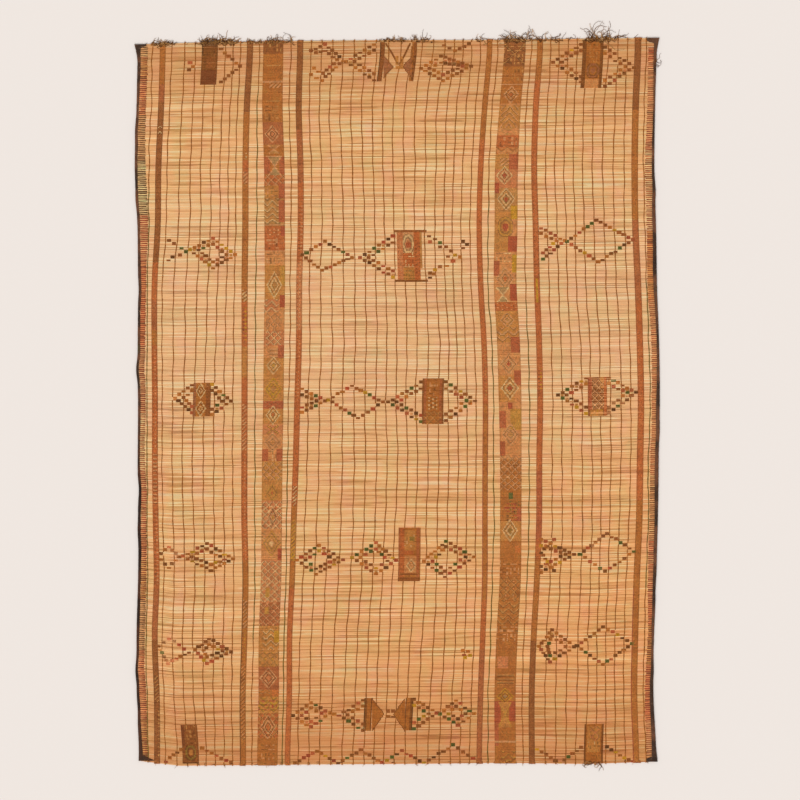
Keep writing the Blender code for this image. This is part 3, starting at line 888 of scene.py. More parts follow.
def dots(u, v, w, h):
    in_row = np.mod(v + 2 * np.floor(u / 4), 4) < 1.2
    light = in_row & (np.mod(u, 4) < 1.3)
    dark = in_row & (np.mod(u + 2, 4) < 1.3)
    return np.where(light, 1, np.where(dark, 3, 0))


def marks(u, v, w, h):
    """Short strokes, level, upright or left out by chance, as if each were laced by eye."""
    cell_u, cell_v = np.floor(u / 3.5), np.floor(v / 4)
    chance = np.mod(np.sin(cell_u * 12.9898 + cell_v * 78.233 + w) * 43758.5453, 1)
    inside_u, inside_v = np.mod(u, 3.5), np.mod(v, 4)
    level = (inside_v < 1.2) & (inside_u < 2.6)
    upright = (inside_u < 1.1) & (inside_v < 3.2)
    light = np.where(chance < 0.30, level, np.where(chance < 0.55, upright, False))
    dark = np.where(chance > 0.78, level, np.where(chance > 0.62, upright, False))
    return np.where(light, 1, np.where(dark, 3, 0))


def round_ring(u, v, w, h):
    reach = np.hypot(u / w, v / h)
    rim = np.abs(reach - 0.85) * min(w, h)
    return np.where(rim < 0.7, 1, np.where(reach < 0.38, 2, np.where(rim < 1.7, 3, 0)))


# Charts of the lacing, drawn one over another. Each entry: pattern, its left and right side
# in shares of the width, its first and last row of the photo, the dye of its line and of its
# heart. An entry of two rows and a dye fills the whole width.
WIDE_LEFT = (
    (240, 560, "faded"), (36, 54, "hazel"), (marks, 0.1, 0.9, 44, 53, "tan"),
    (fill, 0.2, 0.9, 65, 66.2, "tan"), (81, 82.2, "pale"), (slashes, 0.35, 0.9, 83, 87.5, "pale"),
    (fill, 0.2, 0.9, 100, 101.2, "tan"), (marks, 0.15, 0.85, 106, 121, "tan"), (122, 145, "russet"),
    (rings, 0.08, 0.84, 125, 143, "pale", "rose"), (hourglass, 0.2, 0.8, 145, 154, "pale", "tan"),
    (fill, 0.1, 0.9, 155.5, 156.7, "pale"), (fill, 0, 0.28, 157, 174, "brick"),
    (fill, 0.74, 1, 157, 174, "brick"), (hourglass, 0.2, 0.84, 157, 176, "pale", "grey"),
    (175, 185, "rust"), (lattice, 0, 1, 175, 192, "pale"), (185, 198, "ochre"),
    (fill, 0.68, 1, 183, 198, "brick"), (marks, 0, 0.68, 185, 197, "pale"), (198, 224, "tan"),
    (zigzag, 0, 0.8, 198, 224, "cream"), (fill, 0.72, 1, 200, 222, "brick"), (224, 225.2, "pale"),
    (226, 250, "rust"), (dots, 0.1, 0.8, 228, 236, "cream"), (fill, 0.82, 1, 226, 236, "red"),
    (marks, 0.1, 0.7, 238, 249, "pale"), (250, 251.2, "pale"), (marks, 0.1, 0.8, 252, 264, "pale"),
    (265, 299, "ochre"), (fill, 0.74, 1, 266, 286, "honey"), (rings, 0.1, 0.86, 271, 299, "cream", "tan"),
    (fill, 0.76, 1, 295, 307, "red"), (fill, 0, 0.72, 299, 312, "rose"),
    (zigzag, 0, 0.72, 299, 312, "cream"), (lattice, 0.1, 0.8, 313, 329, "pale"), (330, 346, "rose"),
    (lattice, 0.1, 0.86, 331, 345, "cream"), (fill, 0.7, 1, 345, 361, "brick"),
    (bars, 0.3, 0.7, 346, 358, "pale"), (358, 403, "ochre"),
    (rings, 0.14, 0.84, 356, 375, "cream", "honey"), (rings, 0.08, 0.92, 377, 401, "gold", "tan"),
    (401, 409, "brick"), (dots, 0.1, 0.9, 402, 409, "grey"), (409, 424, "ochre"),
    (rings, 0.14, 0.86, 405, 425, "cream", "rust"), (425, 434, "rose"),
    (cross, 0.2, 0.8, 425, 434, "honey"), (rings, 0.08, 0.92, 432, 452, "pale", "tan"),
    (fill, 0, 0.3, 449, 461, "brick"), (fill, 0.7, 1, 449, 461, "brick"),
    (marks, 0.3, 0.7, 449, 461, "cream"), (461, 500, "ochre"), (lattice, 0, 1, 462, 480, "pale", "gold"),
    (rings, 0.2, 0.82, 483, 503, "honey", "rust"), (500, 529, "rose"),
    (lattice, 0, 1, 501, 529, "cream", "rust"), (rings, 0.28, 0.8, 505, 529, "pale", "honey"),
    (529, 560, "faded"), (rings, 0.06, 0.94, 530, 557, "honey", "cream"),
    (dots, 0, 0.22, 531, 545, "grey"), (dots, 0.8, 1, 536, 548, "grey"), (fill, 0.8, 1, 548, 561, "red"),
    (560, 603, "rose"), (lattice, 0, 1, 561, 602, "cream", "pale"),
    (fill, 0.24, 0.46, 588, 597.5, "honey"), (603, 626, "russet"), (lattice, 0, 1, 603, 626, "pale"),
    (fill, 0.26, 0.47, 607, 614.5, "honey"), (626, 666, "ochre"), (zigzag, 0.2, 1, 628, 650, "cream"),
    (fill, 0.74, 1, 631, 642, "gold"), (lattice, 0, 1, 652, 666, "tan", "gold"), (666, 690, "russet"),
    (rings, 0.05, 0.92, 667, 689, "pale", "rose"), (dots, 0, 0.6, 689, 694, "grey"),
    (fill, 0.66, 1, 690, 699, "orange"), (696, 713, "ochre"), (zigzag, 0, 1, 697, 712, "gold"),
    (marks, 0, 1, 699, 710, "red"), (713, 738, "rust"), (lattice, 0, 1, 713, 738, "tan"),
    (rings, 0.1, 0.9, 714, 740, "pale", "rust"), (marks, 0.2, 0.9, 744, 762, "pale"),
)
WIDE_RIGHT = (
    (104, 460, "faded"), (36, 66, "hazel"), (cross, 0.02, 0.98, 44, 64, "tan"),
    (marks, 0, 1, 44, 64, "tan"), (marks, 0.45, 1, 66, 81, "tan"), (83.5, 84.7, "pale"),
    (rings, 0.14, 0.86, 85, 104, "pale", "rust"), (106, 128, "ochre"),
    (peaks, 0.1, 0.9, 106, 128, "pale"), (hourglass, 0.2, 0.8, 128, 136, "rose", "tan"),
    (135, 148, "rust"), (marks, 0.1, 0.9, 136, 147, "pale"), (zigzag, 0, 1, 146, 154, "orange"),
    (fill, 0, 0.6, 154, 170, "ochre"), (fill, 0.6, 1, 154, 170, "brick"),
    (slashes, 0.2, 0.6, 158, 166, "pale"), (169, 188, "rose"),
    (rings, 0.05, 0.8, 166, 185, "cream", "red"), (188, 212, "tan"), (fill, 0, 0.2, 183, 193, "red"),
    (rings, 0.1, 0.9, 187, 211, "cream", "red"), (fill, 0.7, 1, 206, 219, "gold"),
    (fill, 0, 0.7, 212, 240, "ochre"), (round_ring, 0.15, 0.8, 217, 237, "honey", "red"),
    (fill, 0, 0.6, 237, 252, "ochre"), (fill, 0.62, 1, 236, 252, "red"),
    (marks, 0.1, 0.8, 252, 262, "cream"), (fill, 0, 0.24, 261, 276, "brick"),
    (fill, 0.8, 1, 255, 272, "gold"), (rings, 0.1, 0.9, 266, 291, "pale", "rust"),
    (fill, 0.72, 1, 284, 301, "red"), (hourglass, 0.1, 0.66, 287, 303, "cream", "grey"),
    (302, 311, "rust"), (dots, 0, 1, 302, 311, "pale"), (311, 342, "ochre"),
    (rings, 0.18, 0.82, 312, 328, "pale", "tan"), (zigzag, 0, 1, 327, 342, "pale"),
    (fill, 0.62, 1, 337, 353, "brick"), (rings, 0.08, 0.86, 353, 375, "pale", "red"),
    (fill, 0.72, 1, 370, 385, "brick"), (fill, 0, 0.72, 376, 402, "ochre"),
    (rings, 0.1, 0.9, 376, 400, "cream", "red"), (fill, 0.4, 0.62, 403, 409, "red"),
    (fill, 0.5, 1, 409, 430, "honey"), (fill, 0, 0.3, 411, 428, "brick"),
    (rings, 0.1, 0.9, 423, 446, "pale", "tan"), (fill, 0, 0.25, 441, 456, "brick"),
    (lattice, 0, 1, 456, 490, "pale"), (fill, 0.38, 0.62, 492, 499, "green"),
    (dots, 0.3, 1, 500, 522, "green"), (marks, 0.2, 0.8, 500, 522, "red"),
    (fill, 0.82, 1, 508, 523, "brick"), (dots, 0.5, 0.9, 508, 518, "grey"), (521, 541, "ochre"),
    (rings, 0.1, 0.84, 519, 542, "cream", "moss"), (fill, 0.7, 1, 546, 552, "orange"),
    (marks, 0, 1, 560, 575, "pale"), (lattice, 0, 1, 577, 600, "tan", "pale"),
    (zigzag, 0, 1, 600, 624, "tan"), (marks, 0, 1, 626, 642, "pale"), (fill, 0.1, 0.6, 656, 668, "rose"),
    (bars, 0.1, 0.9, 672, 684, "tan"), (rings, 0.1, 0.9, 688, 704, "gold", "grey"),
    (fill, 0, 0.32, 701, 723, "red"), (fill, 0.68, 1, 701, 721, "red"),
    (hourglass, 0.2, 0.8, 702, 727, "honey", "ochre"), (fill, 0, 0.22, 723, 746, "brick"),
    (741, 742.2, "pale"), (zigzag, 0.3, 1, 751, 764, "honey"),
)
NARROW = {
    "narrow_band_1": (
        (85, 102, "russet"), (102, 262, "hazel"), (zigzag, 0.1, 0.9, 124, 136, "cream"),
        (262, 300, "rust"), (300, 330, "russet"), (345, 450, "rust"), (dots, 0, 1, 347, 448, "pale"),
        (450, 506, "rust"), (bars, 0.1, 0.9, 452, 504, "pale"), (506, 588, "rust"),
        (dots, 0.2, 0.9, 510, 585, "pale"), (588, 640, "russet"), (640, 770, "hazel"),
        (slashes, 0.16, 0.9, 676, 702, "tan"), (dots, 0.5, 1, 710, 758, "tan")),
    "narrow_band_2": (
        (36, 112, "hazel"), (dots, 0.1, 0.9, 153, 160, "cream"), (160, 184, "rust"),
        (slashes, 0.2, 0.9, 172, 184, "pale"), (slashes, 0.1, 0.9, 290, 302, "cream"), (302, 346, "rust"),
        (dots, 0.2, 0.9, 306, 340, "gold"), (fill, 0.2, 0.8, 346, 376, "ochre"), (378, 560, "rust"),
        (slashes, 0.2, 0.8, 404, 450, "pale"), (dots, 0, 1, 452, 560, "pale"),
        (slashes, 0.2, 0.8, 600, 628, "pale"), (dots, 0.1, 0.9, 630, 662, "gold"),
        (slashes, 0.2, 0.8, 664, 740, "faded"), (fill, 0, 0.2, 560, 770, "umber")),
    "narrow_band_3": (
        (36, 130, "hazel"), (130, 182, "russet"), (182, 262, "rust"), (dots, 0.2, 0.9, 205, 262, "pale"),
        (262, 330, "rose"), (dots, 0.1, 0.9, 262, 330, "cream"), (330, 486, "rust"),
        (dots, 0.2, 0.8, 335, 400, "pale"), (486, 506, "rust"), (slashes, 0.1, 0.9, 486, 506, "cream"),
        (520, 561, "ochre"), (slashes, 0.1, 0.9, 520, 561, "gold"), (588, 770, "rust")),
    "narrow_band_4": (
        (140, 404, "rust"), (dots, 0.3, 0.8, 340, 400, "tan"), (fill, 0, 0.2, 404, 600, "brick"),
        (fill, 0.8, 1, 404, 600, "russet"), (600, 650, "rust"), (650, 770, "russet")),
    "narrow_band_5": (
        (80, 300, "rust"), (dots, 0, 1, 152, 276, "rose"), (fill, 0.3, 0.75, 278, 302, "gold"),
        (302, 560, "rust"), (dots, 0.2, 0.9, 368, 392, "gold"), (470, 540, "brick"), (640, 770, "hazel")),
    "narrow_band_6": (
        (36, 110, "hazel"), (220, 300, "russet"), (300, 500, "rust"), (fill, 0, 0.2, 588, 770, "brick"),
        (fill, 0.2, 1, 588, 770, "brown")),
}


# How dark the laps beside a light line are, and the outer laps of a panel and of the bands.
DARK_LAP = 0.60
PANEL_EDGE = 0.82
WIDE_BAND_EDGE = 0.85
NARROW_BAND_EDGE = 0.78


def painted(chart, ground, across, row, columns):
    """Dyes from a chart: across is a share of the width, row a row of the photo."""
    across, row = np.broadcast_arrays(np.asarray(across, float), np.asarray(row, float))
    shades = np.tile(np.full(3, np.nan) if ground is None else dye(ground), (across.size, 1))
    for entry in chart:
        whole = (fill, 0, 1, *entry) if len(entry) == 3 else entry
        pattern, left, right, top, bottom, line, *heart = whole
        part = (across >= left) & (across < right) & (row >= top) & (row < bottom)
        if not part.any():
            continue
        u = (across[part] - (left + right) / 2) * columns
        v = row[part] - (top + bottom) / 2
        choice = pattern(u, v, (right - left) / 2 * columns, (bottom - top) / 2)
        found = shades[part]
        found[choice == 1] = dye(line)
        found[choice == 3] *= DARK_LAP
        if heart:
            found[choice == 2] = dye(heart[0])
        shades[part] = found
    return shades


# Thongs side by side in a band.
WIDE_BAND_THONGS = 20
NARROW_BAND_THONGS = 6
# The right wide band is laced tighter towards both ends: photo rows, and width there.
RIGHT_BAND_ROWS = (110, 160, 390, 460, 760)
RIGHT_BAND_WIDTHS = (73.0, 78.5, 78.5, 73.0, 72.0)


def laced_band(name, chart, columns, laps, edge_shade):
    """A band, thong by thong: each lap takes its dye from the chart there."""
    middle, width = BANDS[name]
    rows = np.arange(STEMS)
    along = along_at(middle, SHARES)
    level = photo_row(along)
    if name == "wide_band_right":
        width = np.interp(level, RIGHT_BAND_ROWS, RIGHT_BAND_WIDTHS)
    for column in range(columns):
        share = (column + 0.5) / columns
        shade = painted(chart, "brown", share, level, columns)
        if column in (0, columns - 1):
            shade = shade * edge_shade
        # A band keeps its width where the thongs beside it draw together.
        line = middle + (share - 0.5) * width
        line = line + sway(middle, along) - sway(line, along)
        laps.add(lap_line(line, rows), 0.98 * width / columns, PITCHES,
                 0.06 if column % 2 else -0.06, shade, spread=0.11)


# Width of the upper flap at each station, from the bottom end to the top one.
BINDING_WIDTH = {
    "left": (12, 9, 8.5, 10, 10, 8, 8, 8.5, 9, 9, 9, 9, 10),
    "right": (14, 12, 7.5, 11.5, 11, 13, 11.5, 7.5, 11.5, 12.5, 8, 6.5, 9),
}


def flap_width(side, along):
    stations = np.linspace(-LAST_STATION, LAST_STATION, len(BINDING_WIDTH[side]))
    return np.interp(along, stations, BINDING_WIDTH[side])


# Rungs beside the edges: last photo row of each run, and the dyes that take turns in it.
RUNGS = {
    "side_lacing_left": (
        (57, "dark", "pale"), (78, "wine", "tan"), (115, "wine", "rose"),
        (125, "dark", "pale"), (160, "dark", "pale"), (215, "black", "cream"),
        (262, "madder", "pale"), (345, "madder", "rose"), (412, "wine", "pale"),
        (470, "brick", "cream"), (530, "madder", "pale"), (560, "wine", "rose"),
        (600, "wine", "tan"), (650, "dark", "pale"), (720, "wine", "rose"),
        (770, "wine", "tan")),
    "side_lacing_right": (
        (60, "madder", "rose"), (130, "brick", "pale"), (150, "madder", "pale"),
        (200, "brick", "cream"), (232, "madder", "cream"), (262, "madder", "tan"),
        (300, "brick", "tan"), (345, "brick", "pale"), (400, "brick", "pale"),
        (440, "brick", "pale"), (475, "brick", "pale"), (540, "hazel", "pale"),
        (600, "madder", "pale"), (625, "madder", "rose"), (665, "wine", "tan"),
        (720, "madder", "rose"), (770, "brick", "pale")),
}
# Where the rungs end on their inner side: photo row, and distance across.
RUNG_INNER_SIDES = {
    "side_lacing_left": (
        (50, -849.5), (110, -850.5), (150, -848), (200, -844.5), (235, -847), (262, -855), (290, -857.5),
        (390, -857.5), (440, -860), (480, -856.5), (520, -854.5), (620, -855), (652, -856.5),
        (685, -850.5), (745, -853)),
    "side_lacing_right": (
        (50, 855.5), (120, 855.5), (150, 852), (180, 851), (290, 851), (315, 854), (345, 857),
        (430, 856), (460, 854.5), (530, 854.5), (560, 853), (600, 857), (625, 863), (650, 861),
        (680, 855), (745, 850)),
}
# How far the rungs reach under the binding, and stop short of the mat's ends.
UNDER_BINDING = 1.5
SHORT_OF_END = {"left": 7.0, "right": 9.0}
# The first dye of each run is soiled and worn darker.
RUNG_LIGHTS = (0.62, 1.0)


def side_lacing(name, laps):
    """A ladder of wide laps, each over one stem, from the binding inwards."""
    side = name.rsplit("_", 1)[1]
    way = -1 if side == "left" else 1
    along = along_at(BANDS[name][0], SHARES)
    rungs = np.nonzero(np.abs(along) < TOP_END[0] - SHORT_OF_END[side])[0]
    level = photo_row(along[rungs])
    rows, inner = np.array(RUNG_INNER_SIDES[name]).T
    inner = np.interp(level, rows, inner)
    outer = way * (GUIDE_LINES[-1] - flap_width(side, along[rungs]) + UNDER_BINDING)
    start = 30.0
    for stop, *dyes in RUNGS[name]:
        for turn, one in enumerate(dyes):
            chosen = (level >= start) & (level < stop) & (rungs % len(dyes) == turn)
            part = rungs[chosen]
            ends = inner[chosen] + laps.random.normal(0, 0.9, len(part))
            place = on_mat((outer[chosen] + ends) / 2, along[part], LAP_FOOT)
            laps.add(place, np.abs(outer[chosen] - ends), PITCHES[part] * 1.1, way * 0.02,
                     dye(one) * RUNG_LIGHTS[turn], rise=RUNG_RISE, spread=0.22)
        start = stop


# Thongs that were dyed green for part of their length: line, then photo rows.
GREEN_RUNS = (
    (-481, 90, 640), (-369, 440, 770), (-845, 190, 770), (324, 200, 770), (441, 300, 600),
    (846, 280, 588),
)


def thong(across, laps, bricks):
    """One thin thong: a slanting lap over every stem, hidden under panels and bricks."""
    level = photo_row(along_at(across, SHARES))
    phase = across * 0.037
    # A thong is pulled now to one side, now to the other.
    waver = 0.9 * np.sin(level / 4.7 + 9.1 * phase) + 0.7 * np.sin(level / 10.3 + 5.3 * phase)
    place = lap_line(across + waver, np.arange(STEMS))
    shown = ~in_panels(place)
    for x, y, half_width, half_height in bricks:
        beyond = np.abs(place[:, 0] - x) >= half_width + BRICK_MARGIN
        shown &= beyond | (np.abs(place[:, 1] - y) >= half_height)
    shade = np.tile(dye("thong"), (STEMS, 1))
    for line, top, bottom in GREEN_RUNS:
        if abs(line - across) < 1:
            shade[(level > top) & (level < bottom)] = dye("thong_green")
    # Thongs are cut wider in some stretches than in others.
    swelling = 0.10 * np.sin(level / 23 + phase) + 0.07 * np.sin(level / 9.1 + 2 * phase)
    width = THONG_WIDTH * (1 + swelling)
    laps.add(place[shown], width[shown], PITCHES[shown] * 0.97, 0.30, shade[shown],
             rise=THONG_RISE, spread=0.16)


# Bricks of the diamond rows


def chain(points, across_step=4.6, down_step=3.2):
    """Brick places along straight runs from point to point, in photo pixels."""
    found = [points[0]]
    for (x, y), (next_x, next_y) in zip(points, points[1:]):
        steps = max(1, round(max(abs(next_x - x) / across_step, abs(next_y - y) / down_step)))
        for k in range(1, steps + 1):
            found.append((x + (next_x - x) * k / steps, y + (next_y - y) * k / steps))
    return found


# The rounds inside a double motif: how far in and down they lie, and whether their bricks are
# the faded ones that fill the gap to the outer round.
INNER_ROUNDS = ((8.5, 6.0, False), (4.2, 3.0, True))


def inner_round(corners, pale, closed):
    places = chain(corners)
    places = places[:-1] if closed else places
    return [(x, y, True) for x, y in places] if pale else places


def diamond(left, top, right, bottom, double=False):
    """Bricks round a diamond, and for a double one two more rounds inside it."""
    found = chain((left, top, right, bottom, left))[:-1]
    for inwards, down, pale in INNER_ROUNDS if double else ():
        start = (left[0] + inwards, left[1])
        corners = (start, (top[0], top[1] + down), (right[0] - inwards, right[1]),
                   (bottom[0], bottom[1] - down), start)
        found += inner_round(corners, pale, True)
    return found


def wedge(start, tip, end, double=False):
    """Bricks along an open V, and for a double one two more inside it."""
    found = chain((start, tip, end))
    way = 1 if start[0] > tip[0] else -1
    for inwards, down, pale in INNER_ROUNDS if double else ():
        corners = ((start[0], start[1] + down), (tip[0] + way * inwards, tip[1]), (end[0], end[1] - down))
        found += inner_round(corners, pale, False)
    return found


# The diamond rows from the top to the bottom, in pixels of the photo.
MOTIF_ROWS = {
    "motif_bricks_row_1": (
        wedge((221, 49), (240, 66), (221, 82))
        + [(190, 63), (193, 66.5), (189, 69.5)]
        + chain(((311, 50), (325, 44), (343, 60), (322, 80), (311, 74)))
        + chain(((316, 53), (325, 50), (337, 60), (323, 73), (314, 68)))
        + wedge((374, 44), (346, 61), (374, 80), True)
        + diamond((421, 68), (441, 56), (471, 66), (443, 81), True)
        + chain(((444, 45), (455, 51), (469, 44)))
        + wedge((581, 44), (553, 62), (581, 82), True)
        + wedge((605, 47), (634, 67), (605, 86), True)
    ),
    "motif_bricks_row_2": (
        [(169, 241), (174, 244), (181.5, 248.5), (186, 252), (180, 255), (172.5, 257.5), (168.5, 260)]
        + diamond((190, 250), (213, 238), (235, 255), (213, 268), True)
        + diamond((302, 255), (325, 241), (352, 257), (322, 270))
        + wedge((393, 236), (360, 257), (393, 277), True)
        + [(429, 235), (430, 241), (435, 238), (440, 242), (440, 247), (446, 247), (451, 251),
           (448, 256), (455, 255), (460, 257), (453, 261), (447, 265), (440, 266), (435, 269),
           (430, 272), (434, 274), (430, 277)]
        + [(463, 241), (467, 244), (463, 247)]
        + wedge((541, 228), (565, 241), (543, 259), True)
        + diamond((567, 242), (596, 220), (633, 240), (598, 262))
    ),
    "motif_bricks_row_3": (
        wedge((192, 385), (175, 398), (192, 413), True)
        + wedge((212, 385), (231, 401), (212, 415), True)
        + wedge((302, 389), (325, 401), (302, 413), True)
        + diamond((328, 400), (352, 385.5), (383, 402), (358, 418))
        + wedge((421, 382), (388, 402), (421, 421), True)
        + wedge((446, 382), (475, 400), (446, 420), True)
        + wedge((586, 378), (558, 395), (586, 413), True)
        + wedge((609, 378), (636, 393), (609, 413), True)
    ),
    "motif_bricks_row_4": (
        diamond((157, 556), (169, 546), (179, 556), (169, 567))
        + diamond((183, 556), (207, 543), (233, 559), (211, 570), True)
        + diamond((297, 560), (319, 545), (343, 560), (316, 574), True)
        + diamond((352, 558), (376, 543), (396, 561), (376, 574), True)
        + diamond((424, 561), (446, 541), (474, 557), (445, 577), True)
        + wedge((541, 539), (574, 554), (541, 572), True)
        + chain(((554, 539), (541, 552), (554, 570)))
        + diamond((580, 554), (607, 533), (634, 551), (605, 571))
    ),
    "motif_bricks_row_5": (
        diamond((158, 646), (169, 638), (189, 652), (168, 663))
        + diamond((195, 650), (209, 638), (231, 651), (207, 663), True)
        + [(463, 650.5), (468, 652), (464, 654.5), (470, 656), (465, 658)]
        + diamond((539, 646), (552, 630), (574, 646), (550, 662), True)
        + diamond((577, 646), (603, 626), (632, 643), (603, 664))
    ),
    "motif_bricks_row_6": (
        diamond((293, 715), (311, 702), (330, 713), (311, 727), True)
        + [(334, 714)]
        + wedge((363, 700), (339, 715), (363, 730), True)
        + [(388, 711), (393, 711), (388, 717), (393, 717)]
        + wedge((414, 700), (437, 713), (414, 729), True)
        + diamond((440, 714), (456, 700), (474, 714), (458, 725), True)
    ),
    "motif_bricks_row_7": (
        chain(((166, 761), (181, 749)))
        + chain(((202, 748), (231, 763)))
        + chain(((295, 763), (317, 751), (338, 763), (361, 750), (382, 763), (402, 751), (424, 763),
                 (453, 745), (478, 762)))
        + chain(((537, 749), (560, 763), (581, 747)))
        + chain(((607, 747), (633, 763)))
    ),
}
# Dyes of the bricks and how often each comes.
BRICK_DYES = ("brown", "hazel", "umber", "dark", "brick", "red", "green", "gold")
BRICK_SHARES = (0.22, 0.24, 0.16, 0.08, 0.10, 0.05, 0.09, 0.06)
# The top row's bricks are nearly all undyed.
TOP_ROW_SHARES = (0.30, 0.42, 0.22, 0.01, 0.04, 0.0, 0.0, 0.01)
FADED_DYES = ("rose", "pale", "cream", "tan")
# How many of the places for faded bricks have one.
FADED_PART = 0.55
# Most bricks are four thongs wide and three stems long.
FOUR_WIDE_PART = 0.9
THREE_LONG_PART = 0.8


def brick_rows(x, y, count):
    """Numbers of the stems under a brick."""
    start = int(np.argmin(np.abs(SHARES - share_at(x, y)))) - 1
    return np.arange(max(0, start), min(STEMS, start + count))


def set_brick(laps, x, y, columns, count, shade, rise):
    """One brick: a few laps side by side over two or three stems."""
    rows = brick_rows(x, y, count)
    for k in range(columns):
        off = (k - (columns - 1) / 2) * LACING_PITCH
        place = beside(np.full(len(rows), x + off), rows)
        laps.add(place, LACING_PITCH, PITCHES[rows], 0.0, shade, rise=rise)
    return (x + MAT_CENTRE_X, float(along_at(x, SHARES[rows]).mean()) + MAT_CENTRE_Y,
            columns * LACING_PITCH / 2, len(rows) * STEM_PITCH / 2)


def make_bricks(tree, material):
    """The bricks of every diamond row; gives the middle and half sizes of each."""
    random = np.random.default_rng(31)
    bricks = []
    for name, places in MOTIF_ROWS.items():
        laps = Laps(len(bricks))
        shares = TOP_ROW_SHARES if name.endswith("row_1") else BRICK_SHARES
        for column, row, *pale in places:
            x, y = from_photo(column, row)
            if pale:
                shade = dye(random.choice(FADED_DYES))
                if random.random() < FADED_PART:
                    bricks.append(set_brick(laps, x, y, 3, 2, shade, LAP_RISE))
                continue
            columns = 4 if random.random() < FOUR_WIDE_PART else 5
            count = 3 if random.random() < THREE_LONG_PART else 2
            shade = dye(random.choice(BRICK_DYES, p=shares)) * random.uniform(0.8, 1.15)
            bricks.append(set_brick(laps, x, y, columns, count, shade, PANEL_RISE))
        laps.make(name, tree, material)
    return bricks


# Panels

PANEL_CHARTS = {
    "panel_top_left": ("dark", (
        (fill, 0.1, 1, 46, 56, "umber"), (marks, 0.15, 0.9, 44, 56, "hazel"), (56, 70, "umber"),
        (fill, 0.3, 0.85, 57, 68, "hazel"), (70, 86, "chestnut"))),
    "bar_top_1": ("hazel", (
        (fill, 0, 0.3, 36, 90, "dark"), (dots, 0.3, 1, 46, 60, "hazel"))),
    "bar_top_2": ("hazel", (
        (fill, 0, 0.35, 36, 90, "brown"), (marks, 0, 1, 56, 80, "umber"))),
    "panel_top_right": ("brown", (
        (marks, 0.22, 0.8, 42, 62, "tan"), (round_ring, 0.24, 0.86, 63, 78, "clay", "clay"),
        (fill, 0, 0.2, 36, 90, "umber"), (fill, 0.84, 1, 36, 90, "umber"),
        (fill, 0.2, 0.84, 79, 90, "faded"))),
    "panel_second_row": (None, (
        (fill, 0.26, 0.61, 232, 280, "pale"), (round_ring, 0.27, 0.60, 234, 254, "cream", "rose"),
        (fill, 0.36, 0.52, 242, 248, "brick"), (fill, 0.26, 0.61, 253, 266, "rust"),
        (marks, 0.27, 0.60, 252, 268, "cream"), (fill, 0.26, 0.61, 267, 280, "ochre"),
        (marks, 0.26, 0.61, 269, 279, "moss"), (fill, 0.106, 0.26, 232, 280, "rose"),
        (fill, 0.61, 0.80, 232, 280, "rust"), (dots, 0.12, 0.25, 236, 270, "pale"),
        (dots, 0.63, 0.78, 240, 276, "russet"), (fill, 0.80, 0.85, 232, 268, "tan"), (228, 232, "hazel"),
        (279.2, 284, "umber"))),
    "panel_third_row_left": ("brown", (
        (fill, 0, 0.18, 380, 418, "clay"), (fill, 0.7, 1, 380, 418, "hazel"),
        (rings, 0.14, 0.72, 383, 399, "cream", "hazel"),
        (rings, 0.14, 0.76, 400, 417, "cream", "ochre"))),
    "panel_third_row_centre": ("brown", (
        (fill, 0, 0.1, 376, 426, "hazel"), (fill, 0.1, 0.2, 376, 426, "russet"),
        (fill, 0.8, 0.9, 376, 426, "russet"), (fill, 0.9, 1, 376, 426, "hazel"),
        (marks, 0.3, 0.72, 382, 396, "pale"), (dots, 0.3, 0.7, 396, 409, "cream"),
        (lattice, 0.08, 0.92, 411, 425, "tan"))),
    "panel_third_row_right": ("hazel", (
        (fill, 0, 0.22, 374, 409, "brick"), (fill, 0.82, 1, 374, 418, "rust"),
        (fill, 0.62, 0.82, 374, 388, "ochre"), (lattice, 0.22, 0.84, 380, 409, "pale"),
        (fill, 0.08, 0.8, 409, 418, "ochre"), (marks, 0.5, 0.8, 409, 418, "gold"))),
    "panel_fourth_row": ("brown", (
        (fill, 0, 0.1, 526, 584, "russet"), (fill, 0.1, 0.26, 526, 584, "rust"),
        (fill, 0.84, 0.94, 526, 584, "russet"), (fill, 0.28, 0.78, 530, 550, "ochre"),
        (marks, 0.28, 0.78, 535, 547, "cream"), (fill, 0.5, 0.72, 536, 541, "moss"),
        (fill, 0.28, 0.7, 550, 555, "rust"), (fill, 0.28, 0.82, 556, 573, "faded"),
        (rings, 0.36, 0.82, 558, 573, "cream"), (fill, 0.1, 0.9, 573.4, 574.6, "hazel"),
        (577, 584, "hazel"))),
    "bar_sixth_row_1": ("umber", (
        (fill, 0, 0.16, 696, 734, "dark"), (fill, 0.4, 0.9, 696, 734, "brown"))),
    "bar_sixth_row_2": ("umber", (
        (fill, 0.1, 0.6, 696, 734, "brown"), (fill, 0.84, 1, 696, 734, "dark"))),
    "panel_bottom_left": ("hazel", (
        (fill, 0.2, 0.84, 722, 744, "hazel"), (fill, 0, 0.16, 720, 745, "chestnut"),
        (marks, 0.2, 0.86, 725, 744, "tan"), (fill, 0.2, 0.84, 745, 760, "hazel"),
        (round_ring, 0.2, 0.84, 745, 760, "moss", "ochre"), (762, 768, "dark"))),
    "panel_bottom_right": ("brown", (
        (fill, 0.14, 0.86, 726, 752, "ochre"), (lattice, 0.3, 0.8, 726, 740, "rose"),
        (marks, 0.2, 0.84, 741, 750, "cream"), (marks, 0.4, 0.84, 752, 758, "pale"),
        (fill, 0, 0.1, 720, 768, "umber"), (fill, 0.9, 1, 720, 768, "umber"), (762, 768, "hazel"))),
}


